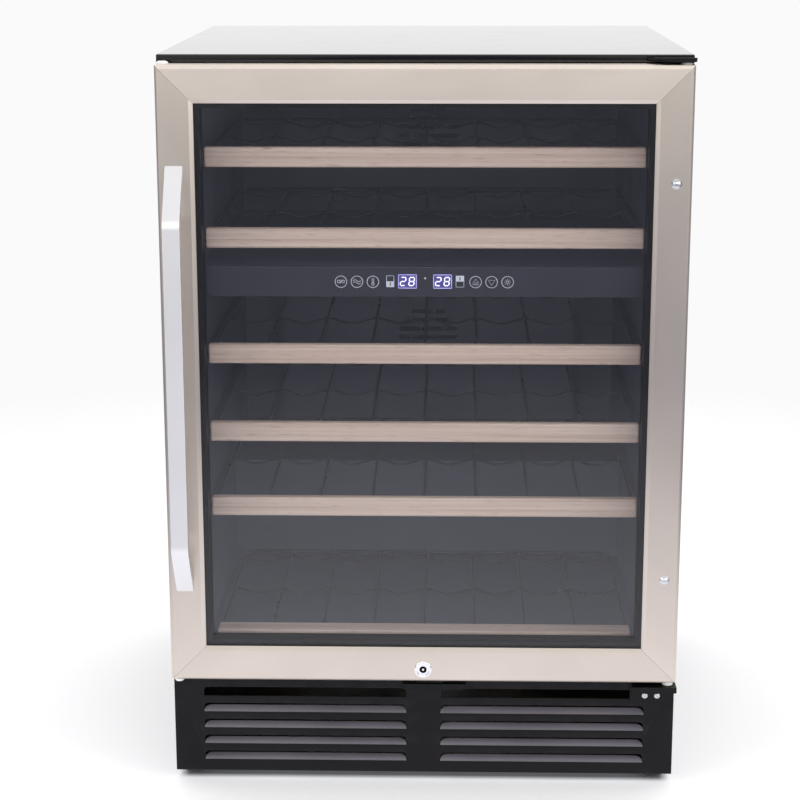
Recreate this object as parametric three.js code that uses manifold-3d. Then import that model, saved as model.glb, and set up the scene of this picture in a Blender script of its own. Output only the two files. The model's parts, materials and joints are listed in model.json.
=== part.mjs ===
// A built-in undercounter wine cooler, 24 inches wide, with two temperature zones behind one glass door.
// Millimetres, +Z up. The door faces -Y and +X is on the right of somebody who stands in front of it.
// The origin is on the floor under the middle of the cooler, handle included.
import * as THREE from "three";
import { mergeVertices } from "three/addons/utils/BufferGeometryUtils.js";
import Module from "manifold-3d";

// ---- driving dimensions -------------------------------------------------------------------------
const WIDTH = 595; // over the side panels
const HEIGHT = 864; // floor to top, feet screwed in
const BODY_DEPTH = 600; // front of the door to the back panel
const HANDLE_REACH = 38; // how far the handle stands out from the door
const GAP = 0.3; // between pieces that touch
const SHEET = 1.0; // outer steel panels
const TOP_THICKNESS = 10;
const PLINTH_Z = 11; // lower edge of the panels and of the grille
const PLINTH_TOP_Z = 141; // where the grille ends and the cabinet's front flange begins

const DOOR_WIDTH = 590;
const DOOR_BOTTOM_Z = 141.8;
const DOOR_TOP_Z = 854.7;
const DOOR_THICKNESS = 34;
const CABINET_FRONT = 38; // depth of the cabinet's front face behind the door's front
const RAIL_WIDTH = 41.5; // steel frame of the door
const RAIL_SHEET = 1.2;
const EDGE_RADIUS = 3;
const LIP = 4.5; // bevel at the steel frame's inner edge

const CAVITY = { halfWidth: 257, floorZ: 168, ceilingZ: 822, back: 560 };
const LINER_WALL = 2.5;
const HUMP = { front: 400, topZ: 300 }; // step over the compressor
const FOAM = 34.5; // thickness round the machine space

const DIVIDER = { front: 57.3, back: 511, lowZ: 592, highZ: 622 };
const FASCIA = { front: 50, thickness: 7, lowZ: 590, highZ: 625, halfWidth: 256.7 };
const KEY = {
  names: ["scale", "fan", "temperature", "up", "down", "light"],
  offsets: [-94.8, -76.6, -58.4, 58.4, 76.6, 94.8],
  radius: 7,
  clearance: 0.35,
  depth: 4.6,
  z: 607.5,
};

const SHELF = { halfWidth: 249.5, front: 60, thickness: 12, height: 23, rackEnd: 480, rod: 5 };
const SHELF_LOW_Z = [736.3, 644, 509, 416, 325.5]; // lower edges of the five wooden fronts, top shelf first
const FLOOR_BOARD = { halfWidth: 246, lowZ: 173, height: 11, thickness: 26, rackEnd: 385 };
const LEDGE = { width: 10, height: 4, front: 80, back: 500 };

const HINGE = { x: 287, depth: 20, pinRadius: 4, boreRadius: 4.6 };
const LOCK = { z: 157, boreRadius: 8.4, rimRadius: 10, rimReach: 1.6 };
const GASKET = { outer: 9, inner: 25 }; // distances in from the door's edge
const HANDLE = { x: -276, width: 20, thickness: 6, halfHeight: 246.7, leg: 60, bend: 16 };
const FOOT = {
  x: 275,
  frontDepth: 65,
  backDepth: 560,
  padRadius: 17,
  flatRadius: 9,
  stemRadius: 3.8,
  stemTopZ: 38,
};

const MACHINE_TOP_Z = HUMP.topZ - LINER_WALL - FOAM;
const MACHINE_FRONT = HUMP.front + LINER_WALL + FOAM;

// ---- frame of reference -------------------------------------------------------------------------
const DOOR_FACE_Y = HANDLE_REACH - (BODY_DEPTH + HANDLE_REACH) / 2;
const deep = (distance) => DOOR_FACE_Y + distance; // y of a point this far behind the door's front
const HALF_WIDTH = WIDTH / 2;
const DOOR_MID_Z = (DOOR_BOTTOM_Z + DOOR_TOP_Z) / 2;
const DOOR_HALF_WIDTH = DOOR_WIDTH / 2;
const DOOR_HALF_HEIGHT = (DOOR_TOP_Z - DOOR_BOTTOM_Z) / 2;

// ---- materials ----------------------------------------------------------------------------------
const finish = (color, roughness, metalness) =>
  new THREE.MeshStandardMaterial({ color, roughness, metalness });
const blackPaint = finish(0x1b1b1d, 0.45, 0.3);
const blackGloss = finish(0x141416, 0.12, 0.2);
const zinc = finish(0xa9adb0, 0.4, 0.9);
const foamYellow = finish(0xd9c48a, 0.95, 0);
const linerBlack = finish(0x2a2a2e, 0.5, 0);
const fasciaBlack = finish(0x17171c, 0.2, 0);
const keyBlack = finish(0x222228, 0.3, 0);
const fanPlastic = finish(0x2f3033, 0.55, 0);
const coilAluminium = finish(0xb9bcc0, 0.4, 0.9);
const lampWhite = finish(0xe8ecf4, 0.3, 0);
const compressorBlack = finish(0x101012, 0.4, 0.5);
const grilleBlack = finish(0x2a282b, 0.5, 0.2);
const champagneSteel = finish(0xc9bdb5, 0.32, 1);
const clearGlass = new THREE.MeshStandardMaterial({
  color: 0x30303a,
  roughness: 0.05,
  metalness: 0,
  transparent: true,
  opacity: 0.35,
});
const doorPlastic = finish(0x1a1a1d, 0.5, 0);
const gasketRubber = finish(0x202022, 0.8, 0);
const brightAluminium = finish(0xdfdfe2, 0.3, 1);
const chrome = finish(0xd5d5d8, 0.12, 1);
const beech = finish(0xbf9a7d, 0.55, 0);
const blackWire = finish(0x242427, 0.35, 0.5);
const footRubber = finish(0x111112, 0.7, 0);

// ---- geometry helpers ---------------------------------------------------------------------------
const wasm = await Module();
wasm.setup();

const cooler = new THREE.Group();

function solidOf(geometry) {
  const loose = geometry.index ? geometry.toNonIndexed() : geometry.clone();
  loose.deleteAttribute("normal");
  loose.deleteAttribute("uv");
  const merged = mergeVertices(loose, 1e-4);
  return new wasm.Manifold(
    new wasm.Mesh({
      numProp: 3,
      vertProperties: new Float32Array(merged.attributes.position.array),
      triVerts: new Uint32Array(merged.index.array),
    }),
  );
}

function geometryOf(solid) {
  const mesh = solid.getMesh();
  const geometry = new THREE.BufferGeometry();
  geometry.setAttribute("position", new THREE.BufferAttribute(new Float32Array(mesh.vertProperties), 3));
  geometry.setIndex(new THREE.BufferAttribute(new Uint32Array(mesh.triVerts), 1));
  return geometry;
}

const join = (...geometries) => geometryOf(geometries.map(solidOf).reduce((sum, next) => sum.add(next)));

const cut = (body, ...tools) =>
  geometryOf(tools.map(solidOf).reduce((rest, tool) => rest.subtract(tool), solidOf(body)));

function add(name, geometry, material) {
  const mesh = new THREE.Mesh(geometry, material);
  mesh.name = name;
  cooler.add(mesh);
}

// A block between two corners, with depths counted from the door's front.
function block(x0, x1, depth0, depth1, z0, z1) {
  return new THREE.BoxGeometry(x1 - x0, depth1 - depth0, z1 - z0).translate(
    (x0 + x1) / 2,
    deep((depth0 + depth1) / 2),
    (z0 + z1) / 2,
  );
}

const wideBlock = (half, depth0, depth1, z0, z1) => block(-half, half, depth0, depth1, z0, z1);

// A shape drawn in x and z, pushed from one depth to another.
function plate(shape, depth0, depth1, curveSegments = 4) {
  const settings = { depth: depth1 - depth0, bevelEnabled: false, curveSegments };
  return new THREE.ExtrudeGeometry(shape, settings).rotateX(Math.PI / 2).translate(0, deep(depth1), 0);
}

// A shape drawn in y and z, pushed along x.
function sidewaysPlate(shape, x0, x1, curveSegments = 4) {
  const settings = { depth: x1 - x0, bevelEnabled: false, curveSegments };
  const turn = new THREE.Matrix4().makeBasis(
    new THREE.Vector3(0, 1, 0),
    new THREE.Vector3(0, 0, 1),
    new THREE.Vector3(1, 0, 0),
  );
  return new THREE.ExtrudeGeometry(shape, settings).applyMatrix4(turn).translate(x0, 0, 0);
}

function rectangle(x0, x1, z0, z1) {
  return new THREE.Shape([
    new THREE.Vector2(x0, z0),
    new THREE.Vector2(x1, z0),
    new THREE.Vector2(x1, z1),
    new THREE.Vector2(x0, z1),
  ]);
}

function rectangularRing(halfOuter, halfInner, outerLowZ, outerHighZ, border) {
  const ring = rectangle(-halfOuter, halfOuter, outerLowZ, outerHighZ);
  ring.holes.push(rectangle(-halfInner, halfInner, outerLowZ + border, outerHighZ - border));
  return ring;
}

// A slot whose upper corners are cut off.
function corneredSlot(x0, x1, z0, z1, corner) {
  return new THREE.Shape([
    new THREE.Vector2(x0, z0),
    new THREE.Vector2(x1, z0),
    new THREE.Vector2(x1, z1 - corner),
    new THREE.Vector2(x1 - corner, z1),
    new THREE.Vector2(x0 + corner, z1),
    new THREE.Vector2(x0, z1 - corner),
  ]);
}

// A round bar along z, y or x between two ends.
const rodZ = (x, y, z0, z1, radius, sides = 16) =>
  new THREE.CylinderGeometry(radius, radius, z1 - z0, sides)
    .rotateX(Math.PI / 2)
    .translate(x, y, (z0 + z1) / 2);

const rodY = (x, z, depth0, depth1, radius, sides = 16) =>
  new THREE.CylinderGeometry(radius, radius, depth1 - depth0, sides)
    .translate(x, deep((depth0 + depth1) / 2), z);

const rodX = (depth, z, x0, x1, radius, sides = 16) =>
  new THREE.CylinderGeometry(radius, radius, x1 - x0, sides)
    .rotateZ(Math.PI / 2)
    .translate((x0 + x1) / 2, deep(depth), z);

// Fins on a spine, as in a finned coil: a comb drawn in x and z, its spine along the lower edge.
function comb(x0, x1, z0, z1, fins, finThickness, spine) {
  const pitch = (x1 - x0 - finThickness) / (fins - 1);
  const outline = [new THREE.Vector2(x0, z0), new THREE.Vector2(x1, z0)];
  for (let i = fins - 1; i >= 0; i -= 1) {
    const left = x0 + i * pitch;
    outline.push(new THREE.Vector2(left + finThickness, z1), new THREE.Vector2(left, z1));
    if (i > 0) {
      outline.push(new THREE.Vector2(left, z0 + spine));
      outline.push(new THREE.Vector2(left - pitch + finThickness, z0 + spine));
    }
  }
  return new THREE.Shape(outline);
}

// A fan wheel about the z axis at the origin: a hub with tilted blades that sink a little into it.
function fanWheel(hubRadius, bladeRadius, thickness, blades, tilt) {
  const sink = 2;
  const bladeThickness = 1.8;
  const parts = [rodZ(0, 0, -thickness / 2, thickness / 2, hubRadius, 12)];
  const length = bladeRadius - hubRadius + sink;
  for (let i = 0; i < blades; i += 1) {
    parts.push(
      new THREE.BoxGeometry(length, hubRadius * 1.5, bladeThickness)
        .rotateX(tilt)
        .translate(hubRadius - sink + length / 2, 0, 0)
        .rotateZ((i / blades) * 2 * Math.PI),
    );
  }
  return join(...parts);
}

// ---- cabinet ------------------------------------------------------------------------------------
const FLANGE = 3;
const PANEL_FRONT = CABINET_FRONT + FLANGE + GAP;
const INSIDE_HALF = HALF_WIDTH - SHEET - GAP;
const BACK_SHEET = 1.5;
const BACK_FRONT = BODY_DEPTH - BACK_SHEET;
const UNDER_TOP_Z = HEIGHT - TOP_THICKNESS - GAP;
const PAN = { lowZ: 12, highZ: 14.5 };
const FOAM_FLOOR_Z = CAVITY.floorZ - 36;

function sidePanels() {
  const panel = (x0, x1) => block(x0, x1, PANEL_FRONT, BODY_DEPTH, PLINTH_Z, UNDER_TOP_Z);
  add("left_side_panel", panel(-HALF_WIDTH, -HALF_WIDTH + SHEET), blackPaint);
  add("right_side_panel", panel(HALF_WIDTH - SHEET, HALF_WIDTH), blackPaint);
}

function topPanel() {
  const chamfer = 1.5;
  const low = HEIGHT - TOP_THICKNESS;
  const front = deep(CABINET_FRONT);
  const section = new THREE.Shape([
    new THREE.Vector2(front, low),
    new THREE.Vector2(deep(BODY_DEPTH), low),
    new THREE.Vector2(deep(BODY_DEPTH), HEIGHT),
    new THREE.Vector2(front + chamfer, HEIGHT),
    new THREE.Vector2(front, HEIGHT - chamfer),
  ]);
  add("top_panel", sidewaysPlate(section, -HALF_WIDTH, HALF_WIDTH), blackGloss);
}

const GLAND = { x: -232, z: 46, radius: 10, boreRadius: 4, reach: 6 };
const VENT = { centres: [-125, 0, 125], halfWidth: 40, rows: 5, height: 8, pitch: 30, lowestZ: 88 };

function backPanel() {
  const sheet = block(-INSIDE_HALF, INSIDE_HALF, BACK_FRONT, BODY_DEPTH, PAN.highZ + GAP, UNDER_TOP_Z);
  const tools = [rodY(GLAND.x, GLAND.z, BACK_FRONT - 1, BODY_DEPTH + 1, GLAND.radius + GAP)];
  for (const centre of VENT.centres) {
    for (let row = 0; row < VENT.rows; row += 1) {
      const [x0, x1] = [centre - VENT.halfWidth, centre + VENT.halfWidth];
      const z = VENT.lowestZ + row * VENT.pitch;
      tools.push(block(x0, x1, BACK_FRONT - 1, BODY_DEPTH + 1, z, z + VENT.height));
    }
  }
  add("back_panel", cut(sheet, ...tools), blackPaint);
}

function cordGland() {
  const { x, z, radius, boreRadius, reach } = GLAND;
  const flange = rodY(x, z, BACK_FRONT - reach, BACK_FRONT - GAP, radius + 4);
  const neck = rodY(x, z, BACK_FRONT - reach, BODY_DEPTH - 0.1, radius);
  const recess = rodY(x, z, BODY_DEPTH - 3, BODY_DEPTH + 1, boreRadius, 12);
  add("cord_gland", cut(join(flange, neck), recess), footRubber);
}

// The liner is a tub with a step for the machine space, a flange behind the door and ledges for the shelves.
function innerLiner() {
  const { halfWidth, floorZ, ceilingZ, back } = CAVITY;
  const wall = LINER_WALL;
  const flangeBack = CABINET_FRONT + FLANGE;
  const tub = wideBlock(halfWidth + wall, CABINET_FRONT + 1, back + wall, floorZ - wall, ceilingZ + wall);
  const flange = wideBlock(HALF_WIDTH, CABINET_FRONT, flangeBack, PLINTH_TOP_Z + GAP, UNDER_TOP_Z);
  const room = wideBlock(halfWidth, CABINET_FRONT - 1, back, floorZ, ceilingZ);
  const step = wideBlock(halfWidth + 1, HUMP.front, back + 1, floorZ - 1, HUMP.topZ);
  const machine = wideBlock(halfWidth + wall + 1, HUMP.front + wall, back + wall + 1, 0, HUMP.topZ - wall);
  const hollow = cut(room, step);
  const ledges = SHELF_LOW_Z.flatMap((lowZ) => {
    const topZ = lowZ + SHELF.height / 2 - SHELF.rod / 2 - GAP;
    return [-1, 1].map((side) => {
      const outer = side * (halfWidth + 1);
      const inner = side * (halfWidth - LEDGE.width);
      return block(
        Math.min(outer, inner),
        Math.max(outer, inner),
        LEDGE.front,
        LEDGE.back,
        topZ - LEDGE.height,
        topZ,
      );
    });
  });
  add("inner_liner", join(cut(join(tub, flange), hollow, machine), ...ledges), linerBlack);
}

function insulationFoam() {
  const wall = LINER_WALL + GAP;
  const fill = wideBlock(INSIDE_HALF, PANEL_FRONT, BACK_FRONT - GAP, FOAM_FLOOR_Z, UNDER_TOP_Z);
  const tub = wideBlock(
    CAVITY.halfWidth + wall,
    0,
    CAVITY.back + wall,
    CAVITY.floorZ - wall,
    CAVITY.ceilingZ + wall,
  );
  const underStep = wideBlock(INSIDE_HALF + 1, HUMP.front + wall, BODY_DEPTH, 0, HUMP.topZ - wall);
  const machine = wideBlock(INSIDE_HALF + 1, MACHINE_FRONT, BODY_DEPTH, 0, MACHINE_TOP_Z);
  add("insulation_foam", cut(fill, cut(tub, underStep), machine), foamYellow);
}

function zoneDivider() {
  const { front, back, lowZ, highZ } = DIVIDER;
  add("zone_divider", wideBlock(FASCIA.halfWidth, front, back, lowZ, highZ), linerBlack);
}

function controls() {
  const { front, thickness, lowZ, highZ, halfWidth } = FASCIA;
  const strip = wideBlock(halfWidth, front, front + thickness, lowZ, highZ);
  const holes = KEY.offsets.map((x) =>
    rodY(x, KEY.z, front - 1, front + thickness + 1, KEY.radius + KEY.clearance),
  );
  add("control_fascia", cut(strip, ...holes), fasciaBlack);
  KEY.offsets.forEach((x, i) => {
    add(`${KEY.names[i]}_key`, rodY(x, KEY.z, front, front + KEY.depth, KEY.radius), keyBlack);
  });
}

// ---- cooling ------------------------------------------------------------------------------------
const DUCT = { front: 512, halfWidth: 200, wall: 2.5 };
const AIR_SLOT = { height: 6, pitch: 12, rows: 3, fromEnd: 16, half: 26, centres: [-150, -85, 85, 150] };
const ZONES = [
  { name: "upper", lowZ: 634, highZ: 812, fanZ: 723 },
  { name: "lower", lowZ: 312, highZ: 580, fanZ: 446 },
];
const COIL = { front: 537, back: 558, halfWidth: 170, halfHeight: 68, fins: 22, finThickness: 2, spine: 12 };
const BLOWER = { hub: 14, blade: 45, front: 519, thickness: 12, blades: 5, tilt: 0.6 };
const LIGHT_BAR = { half: 150, front: 64, back: 76, thickness: 4 };

// A shallow tray over the fan and the evaporator, open towards the back wall, with slots for the air.
function ductCover(zone) {
  const back = CAVITY.back - GAP;
  const outer = wideBlock(DUCT.halfWidth, DUCT.front, back, zone.lowZ, zone.highZ);
  const hollow = wideBlock(
    DUCT.halfWidth - DUCT.wall,
    DUCT.front + DUCT.wall,
    back + 1,
    zone.lowZ + DUCT.wall,
    zone.highZ - DUCT.wall,
  );
  const slot = (x, z, half) => {
    const rise = AIR_SLOT.height / 2;
    return block(x - half, x + half, DUCT.front - 1, DUCT.front + DUCT.wall + 1, z - rise, z + rise);
  };
  const slots = [];
  for (let row = -AIR_SLOT.rows; row <= AIR_SLOT.rows; row += 1) {
    const offset = row * AIR_SLOT.pitch;
    const half = Math.sqrt(BLOWER.blade ** 2 - offset ** 2) - 4;
    slots.push(slot(0, zone.fanZ + offset, half));
  }
  for (const x of AIR_SLOT.centres) {
    slots.push(slot(x, zone.highZ - AIR_SLOT.fromEnd, AIR_SLOT.half));
    slots.push(slot(x, zone.lowZ + AIR_SLOT.fromEnd, AIR_SLOT.half));
  }
  add(`${zone.name}_duct_cover`, cut(outer, hollow, ...slots), linerBlack);
}

function zoneFan(zone) {
  const { hub, blade, front, thickness, blades, tilt } = BLOWER;
  const wheel = fanWheel(hub, blade, thickness, blades, tilt)
    .rotateX(Math.PI / 2)
    .translate(0, deep(front + thickness / 2), zone.fanZ);
  add(`${zone.name}_fan`, wheel, fanPlastic);
}

function evaporator(zone) {
  const { front, back, halfWidth, halfHeight, fins, finThickness, spine } = COIL;
  const [lowZ, highZ] = [zone.fanZ - halfHeight, zone.fanZ + halfHeight];
  const shape = comb(-halfWidth, halfWidth, lowZ, highZ, fins, finThickness, spine);
  add(`${zone.name}_evaporator`, plate(shape, front, back), coilAluminium);
}

function lightBars() {
  const { half, front, back, thickness } = LIGHT_BAR;
  const barUnder = (z) => wideBlock(half, front, back, z - thickness, z - GAP);
  add("upper_light_bar", barUnder(CAVITY.ceilingZ), lampWhite);
  add("lower_light_bar", barUnder(DIVIDER.lowZ), lampWhite);
}

const feetPlaces = [
  ["front_left_foot", -FOOT.x, FOOT.frontDepth],
  ["front_right_foot", FOOT.x, FOOT.frontDepth],
  ["rear_left_foot", -FOOT.x, FOOT.backDepth],
  ["rear_right_foot", FOOT.x, FOOT.backDepth],
];

function basePan() {
  const pan = wideBlock(INSIDE_HALF, PANEL_FRONT, BACK_FRONT - GAP, PAN.lowZ, PAN.highZ);
  const holeRadius = FOOT.stemRadius + 0.5;
  const holes = feetPlaces.map(([, x, depth]) => rodZ(x, deep(depth), 0, PAN.highZ + 1, holeRadius, 12));
  add("base_pan", cut(pan, ...holes), zinc);
}

// A levelling foot: a glide with a domed underside, and a stem that screws up through the base pan.
function levellingFoot(name, x, depth) {
  const { padRadius, flatRadius, stemRadius, stemTopZ } = FOOT;
  const top = PLINTH_Z - 0.6;
  const domeHeight = top - 3;
  const profile = [new THREE.Vector2(0, 0), new THREE.Vector2(flatRadius, 0)];
  const steps = 3;
  for (let i = 1; i <= steps; i += 1) {
    const angle = (i / steps) * (Math.PI / 2);
    const radius = flatRadius + (padRadius - flatRadius) * Math.sin(angle);
    profile.push(new THREE.Vector2(radius, domeHeight * (1 - Math.cos(angle))));
  }
  profile.push(
    new THREE.Vector2(padRadius, top),
    new THREE.Vector2(stemRadius, top),
    new THREE.Vector2(stemRadius, stemTopZ),
    new THREE.Vector2(0, stemTopZ),
  );
  const foot = new THREE.LatheGeometry(profile, 12).rotateX(Math.PI / 2).translate(x, deep(depth), 0);
  add(name, foot, footRubber);
}

const COMPRESSOR = { x: 180, depth: 518, radius: 68, shoulder: 34, lowZ: 24, highZ: 190 };

function compressor() {
  const { x, depth, radius, shoulder, lowZ, highZ } = COMPRESSOR;
  const profile = [new THREE.Vector2(0, lowZ), new THREE.Vector2(radius - shoulder / 2, lowZ)];
  const arcSteps = 5;
  for (let i = 0; i <= arcSteps; i += 1) {
    const angle = (i / arcSteps) * (Math.PI / 2);
    const [out, up] = [shoulder * Math.cos(angle), shoulder * Math.sin(angle)];
    profile.push(new THREE.Vector2(radius - shoulder + out, highZ - shoulder + up));
  }
  profile.push(new THREE.Vector2(0, highZ));
  const can = new THREE.LatheGeometry(profile, 20).rotateX(Math.PI / 2).translate(x, deep(depth), 0);
  const saddle = block(x - 85, x + 85, depth - 50, depth + 50, PAN.highZ + 4, lowZ + 3);
  const grommets = [-72, 72].flatMap((dx) =>
    [-38, 38].map((dy) => rodZ(x + dx, deep(depth + dy), PAN.highZ + GAP, PAN.highZ + 7, 9, 8)),
  );
  const relayBox = block(x - 100, x - radius + 6, depth - 22, depth + 22, 70, 120);
  const pipe = rodZ(x + 30, deep(depth), highZ - 14, highZ + 26, 4, 8);
  add("compressor", join(can, saddle, relayBox, pipe, ...grommets), compressorBlack);
}

const COOLING_FAN = { x: -48, depth: 518, z: 84, half: 64, blades: 5, tilt: 0.55 };
const CONDENSER = { left: -262, right: -90, front: 455, back: 582, topZ: 150 };

function condenser() {
  const { left, right, front, back, topZ } = CONDENSER;
  const fins = 15;
  const shape = comb(left, right, PAN.highZ + GAP, topZ, fins, COIL.finThickness, COIL.spine + 2);
  add("condenser", plate(shape, front, back), blackWire);
}

function condenserFan() {
  const { x, depth, z, half, blades, tilt } = COOLING_FAN;
  const ring = block(x - 10, x + 10, depth - half, depth + half, PAN.highZ + GAP, z + half);
  const mouth = rodX(depth, z, x - 20, x + 20, half - 6, 32);
  const motor = rodX(depth, z, x + 8, x + 34, 17, 20);
  const strutZ = block(x + 6, x + 10, depth - 4, depth + 4, PAN.highZ + 1, z + half - 1);
  const strutY = block(x + 6, x + 10, depth - half + 1, depth + half - 1, z - 4, z + 4);
  add("condenser_fan_shroud", join(cut(ring, mouth), motor, strutZ, strutY), blackPaint);
  const wheel = fanWheel(15, half - 12, 10, blades, tilt)
    .rotateY(Math.PI / 2)
    .translate(x - 2, deep(depth), z);
  add("condenser_fan", wheel, fanPlastic);
}

// ---- front of the cabinet -----------------------------------------------------------------------
const LOUVRE = { inner: 20.4, outer: 262, height: 11.3, pitch: 20.4, lowestZ: 25.3, rows: 5, corner: 4 };

// Each slot of the grille has a blade behind it that rises inwards from the slot's lower edge.
function frontGrille() {
  const thickness = 3;
  const back = CABINET_FRONT + thickness;
  const sheet = wideBlock(HALF_WIDTH, CABINET_FRONT, back, PLINTH_Z, PLINTH_TOP_Z);
  const slots = [];
  const blades = [];
  for (let row = 0; row < LOUVRE.rows; row += 1) {
    const lowZ = LOUVRE.lowestZ + row * LOUVRE.pitch;
    for (const side of [-1, 1]) {
      const x0 = side < 0 ? -LOUVRE.outer : LOUVRE.inner;
      const x1 = side < 0 ? -LOUVRE.inner : LOUVRE.outer;
      const slot = corneredSlot(x0, x1, lowZ, lowZ + LOUVRE.height, LOUVRE.corner);
      slots.push(plate(slot, CABINET_FRONT - 1, back + 1));
      const y = deep(back - 1);
      const section = new THREE.Shape([
        new THREE.Vector2(y, lowZ - 2),
        new THREE.Vector2(y + 11, lowZ + 8),
        new THREE.Vector2(y + 11, lowZ + 9.6),
        new THREE.Vector2(y, lowZ - 0.2),
      ]);
      blades.push(sidewaysPlate(section, x0 + 1, x1 - 1));
    }
  }
  add("front_grille", join(cut(sheet, ...slots), ...blades), grilleBlack);
}

const BRACKET = { sheet: 2.5, length: 52, reach: 9, lip: 7, pinLength: 12, lowPlateZ: 133, legEndZ: 104 };

// An angle screwed to the cabinet. The hinge pin stands on the leg that reaches under or over the door.
function hingeBrackets() {
  const { sheet, reach, pinLength, lowPlateZ } = BRACKET;
  const x1 = HALF_WIDTH - 0.5;
  const x0 = x1 - BRACKET.length;
  const back = CABINET_FRONT - GAP;
  const pin = (z0, z1) => rodZ(HINGE.x, deep(HINGE.depth), z0, z1, HINGE.pinRadius);
  const lower = join(
    block(x0, x1, reach, back, lowPlateZ - sheet, lowPlateZ),
    block(x0, x1, back - sheet, back, BRACKET.legEndZ, lowPlateZ),
    block(x0, x1, reach, reach + sheet, lowPlateZ - BRACKET.lip, lowPlateZ),
    pin(lowPlateZ - 1, DOOR_BOTTOM_Z + pinLength),
  );
  add("lower_hinge_bracket", lower, blackPaint);
  const highPlateZ = DOOR_TOP_Z + 2.8;
  const upper = join(
    block(x0, x1, reach, back, highPlateZ, highPlateZ + sheet),
    block(x0, x1, back - sheet, back, highPlateZ, HEIGHT - 0.5),
    pin(DOOR_TOP_Z - pinLength, highPlateZ + 1),
  );
  add("upper_hinge_bracket", upper, blackPaint);
}

const CAM = { length: 31, halfWidth: 5, front: 22, thickness: 3 };
const STRIKE = { x0: -24, x1: 50, topZ: 134, sheet: 2.5, height: 16, slot: [-8, 24] };

// The catch of the lock: an angle below the door with a slot that the cam turns down into.
function lockStrike() {
  const { x0, x1, topZ, sheet, slot } = STRIKE;
  const back = CABINET_FRONT - GAP;
  const leaf = block(x0, x1, 12, back, topZ - sheet, topZ);
  const leg = block(x0, x1, back - sheet, back, topZ - STRIKE.height, topZ);
  const slotBack = CAM.front + CAM.thickness + 4;
  const opening = block(slot[0], slot[1], CAM.front - 4, slotBack, topZ - 10, topZ + 5);
  add("lock_strike", cut(join(leaf, leg), opening), blackPaint);
}

// ---- door ---------------------------------------------------------------------------------------
// The section of a steel rail, as distance in from the door's edge against depth: a side flange, a rounded
// corner, the face, and a bevel that runs in to the glass. Its ends are mitred at 45 degrees.
function railSection() {
  const r = EDGE_RADIUS;
  const t = RAIL_SHEET;
  const steps = 3;
  const outer = [[0, DOOR_THICKNESS]];
  const inner = [[t, DOOR_THICKNESS]];
  for (let i = 0; i <= steps; i += 1) {
    const angle = (i / steps) * (Math.PI / 2);
    outer.push([r - r * Math.cos(angle), r - r * Math.sin(angle)]);
    inner.push([r - (r - t) * Math.cos(angle), r - (r - t) * Math.sin(angle)]);
  }
  outer.push([RAIL_WIDTH - LIP, 0], [RAIL_WIDTH, LIP - 1]);
  inner.push([RAIL_WIDTH - LIP - 0.5, t], [RAIL_WIDTH - 1, LIP]);
  return [...outer, ...inner.reverse()].map(([u, v]) => new THREE.Vector2(u, v));
}

// A rail that lies along x with its outer edge up at z = halfAcross. Points further in are cut shorter.
function mitredRail(halfLength, halfAcross) {
  const section = railSection();
  const positions = [];
  const corner = (i, end) => {
    const { x: inward, y: depth } = section[i % section.length];
    return [end * (halfLength - inward - GAP / 2), depth, halfAcross - inward];
  };
  const triangle = (a, b, c) => positions.push(...a, ...b, ...c);
  for (let i = 0; i < section.length; i += 1) {
    triangle(corner(i, -1), corner(i + 1, 1), corner(i, 1));
    triangle(corner(i, -1), corner(i + 1, -1), corner(i + 1, 1));
  }
  for (const [a, b, c] of THREE.ShapeUtils.triangulateShape(section, [])) {
    triangle(corner(a, -1), corner(c, -1), corner(b, -1));
    triangle(corner(a, 1), corner(b, 1), corner(c, 1));
  }
  const rail = new THREE.BufferGeometry();
  rail.setAttribute("position", new THREE.Float32BufferAttribute(positions, 3));
  return rail;
}

function doorFrame() {
  const hang = (rail, angle) => rail.rotateY(angle).translate(0, DOOR_FACE_Y, DOOR_MID_Z);
  const across = () => mitredRail(DOOR_HALF_WIDTH, DOOR_HALF_HEIGHT);
  const upright = () => mitredRail(DOOR_HALF_HEIGHT, DOOR_HALF_WIDTH);
  const pinHole = (z) => rodZ(HINGE.x, deep(HINGE.depth), z - 10, z + 10, HINGE.boreRadius);
  const lockHole = rodY(0, LOCK.z, -5, 10, LOCK.boreRadius, 24);
  const camBack = CAM.front + CAM.thickness;
  const camSlot = block(-8, 30, CAM.front - 2, camBack + 2, DOOR_BOTTOM_Z - 5, DOOR_BOTTOM_Z + 5);
  const top = hang(across(), 0);
  const bottom = hang(across(), Math.PI);
  add("door_top_rail", cut(top, pinHole(DOOR_TOP_Z)), champagneSteel);
  add("door_bottom_rail", cut(bottom, pinHole(DOOR_BOTTOM_Z), lockHole, camSlot), champagneSteel);
  add("door_right_stile", hang(upright(), Math.PI / 2), champagneSteel);
  add("door_left_stile", hang(upright(), -Math.PI / 2), champagneSteel);
}

const GLASS = { edge: 33.2, spacerEdge: 47.5, outer: [4.8, 8.8], inner: [23.2, 27.2] };
const ringInDoor = (edge, innerEdge) =>
  rectangularRing(
    DOOR_HALF_WIDTH - edge,
    DOOR_HALF_WIDTH - innerEdge,
    DOOR_BOTTOM_Z + edge,
    DOOR_TOP_Z - edge,
    innerEdge - edge,
  );

// Two panes with a spacer between them.
function doorGlass() {
  const { edge, outer, inner } = GLASS;
  const pane = ([front, back]) =>
    wideBlock(DOOR_HALF_WIDTH - edge, front, back, DOOR_BOTTOM_Z + edge, DOOR_TOP_Z - edge);
  add("outer_glass", pane(outer), clearGlass);
  add("inner_glass", pane(inner), clearGlass);
  const spacer = plate(ringInDoor(edge + GAP, GLASS.spacerEdge), outer[1] + GAP, inner[0] - GAP);
  add("glass_spacer", spacer, doorPlastic);
}

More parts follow.
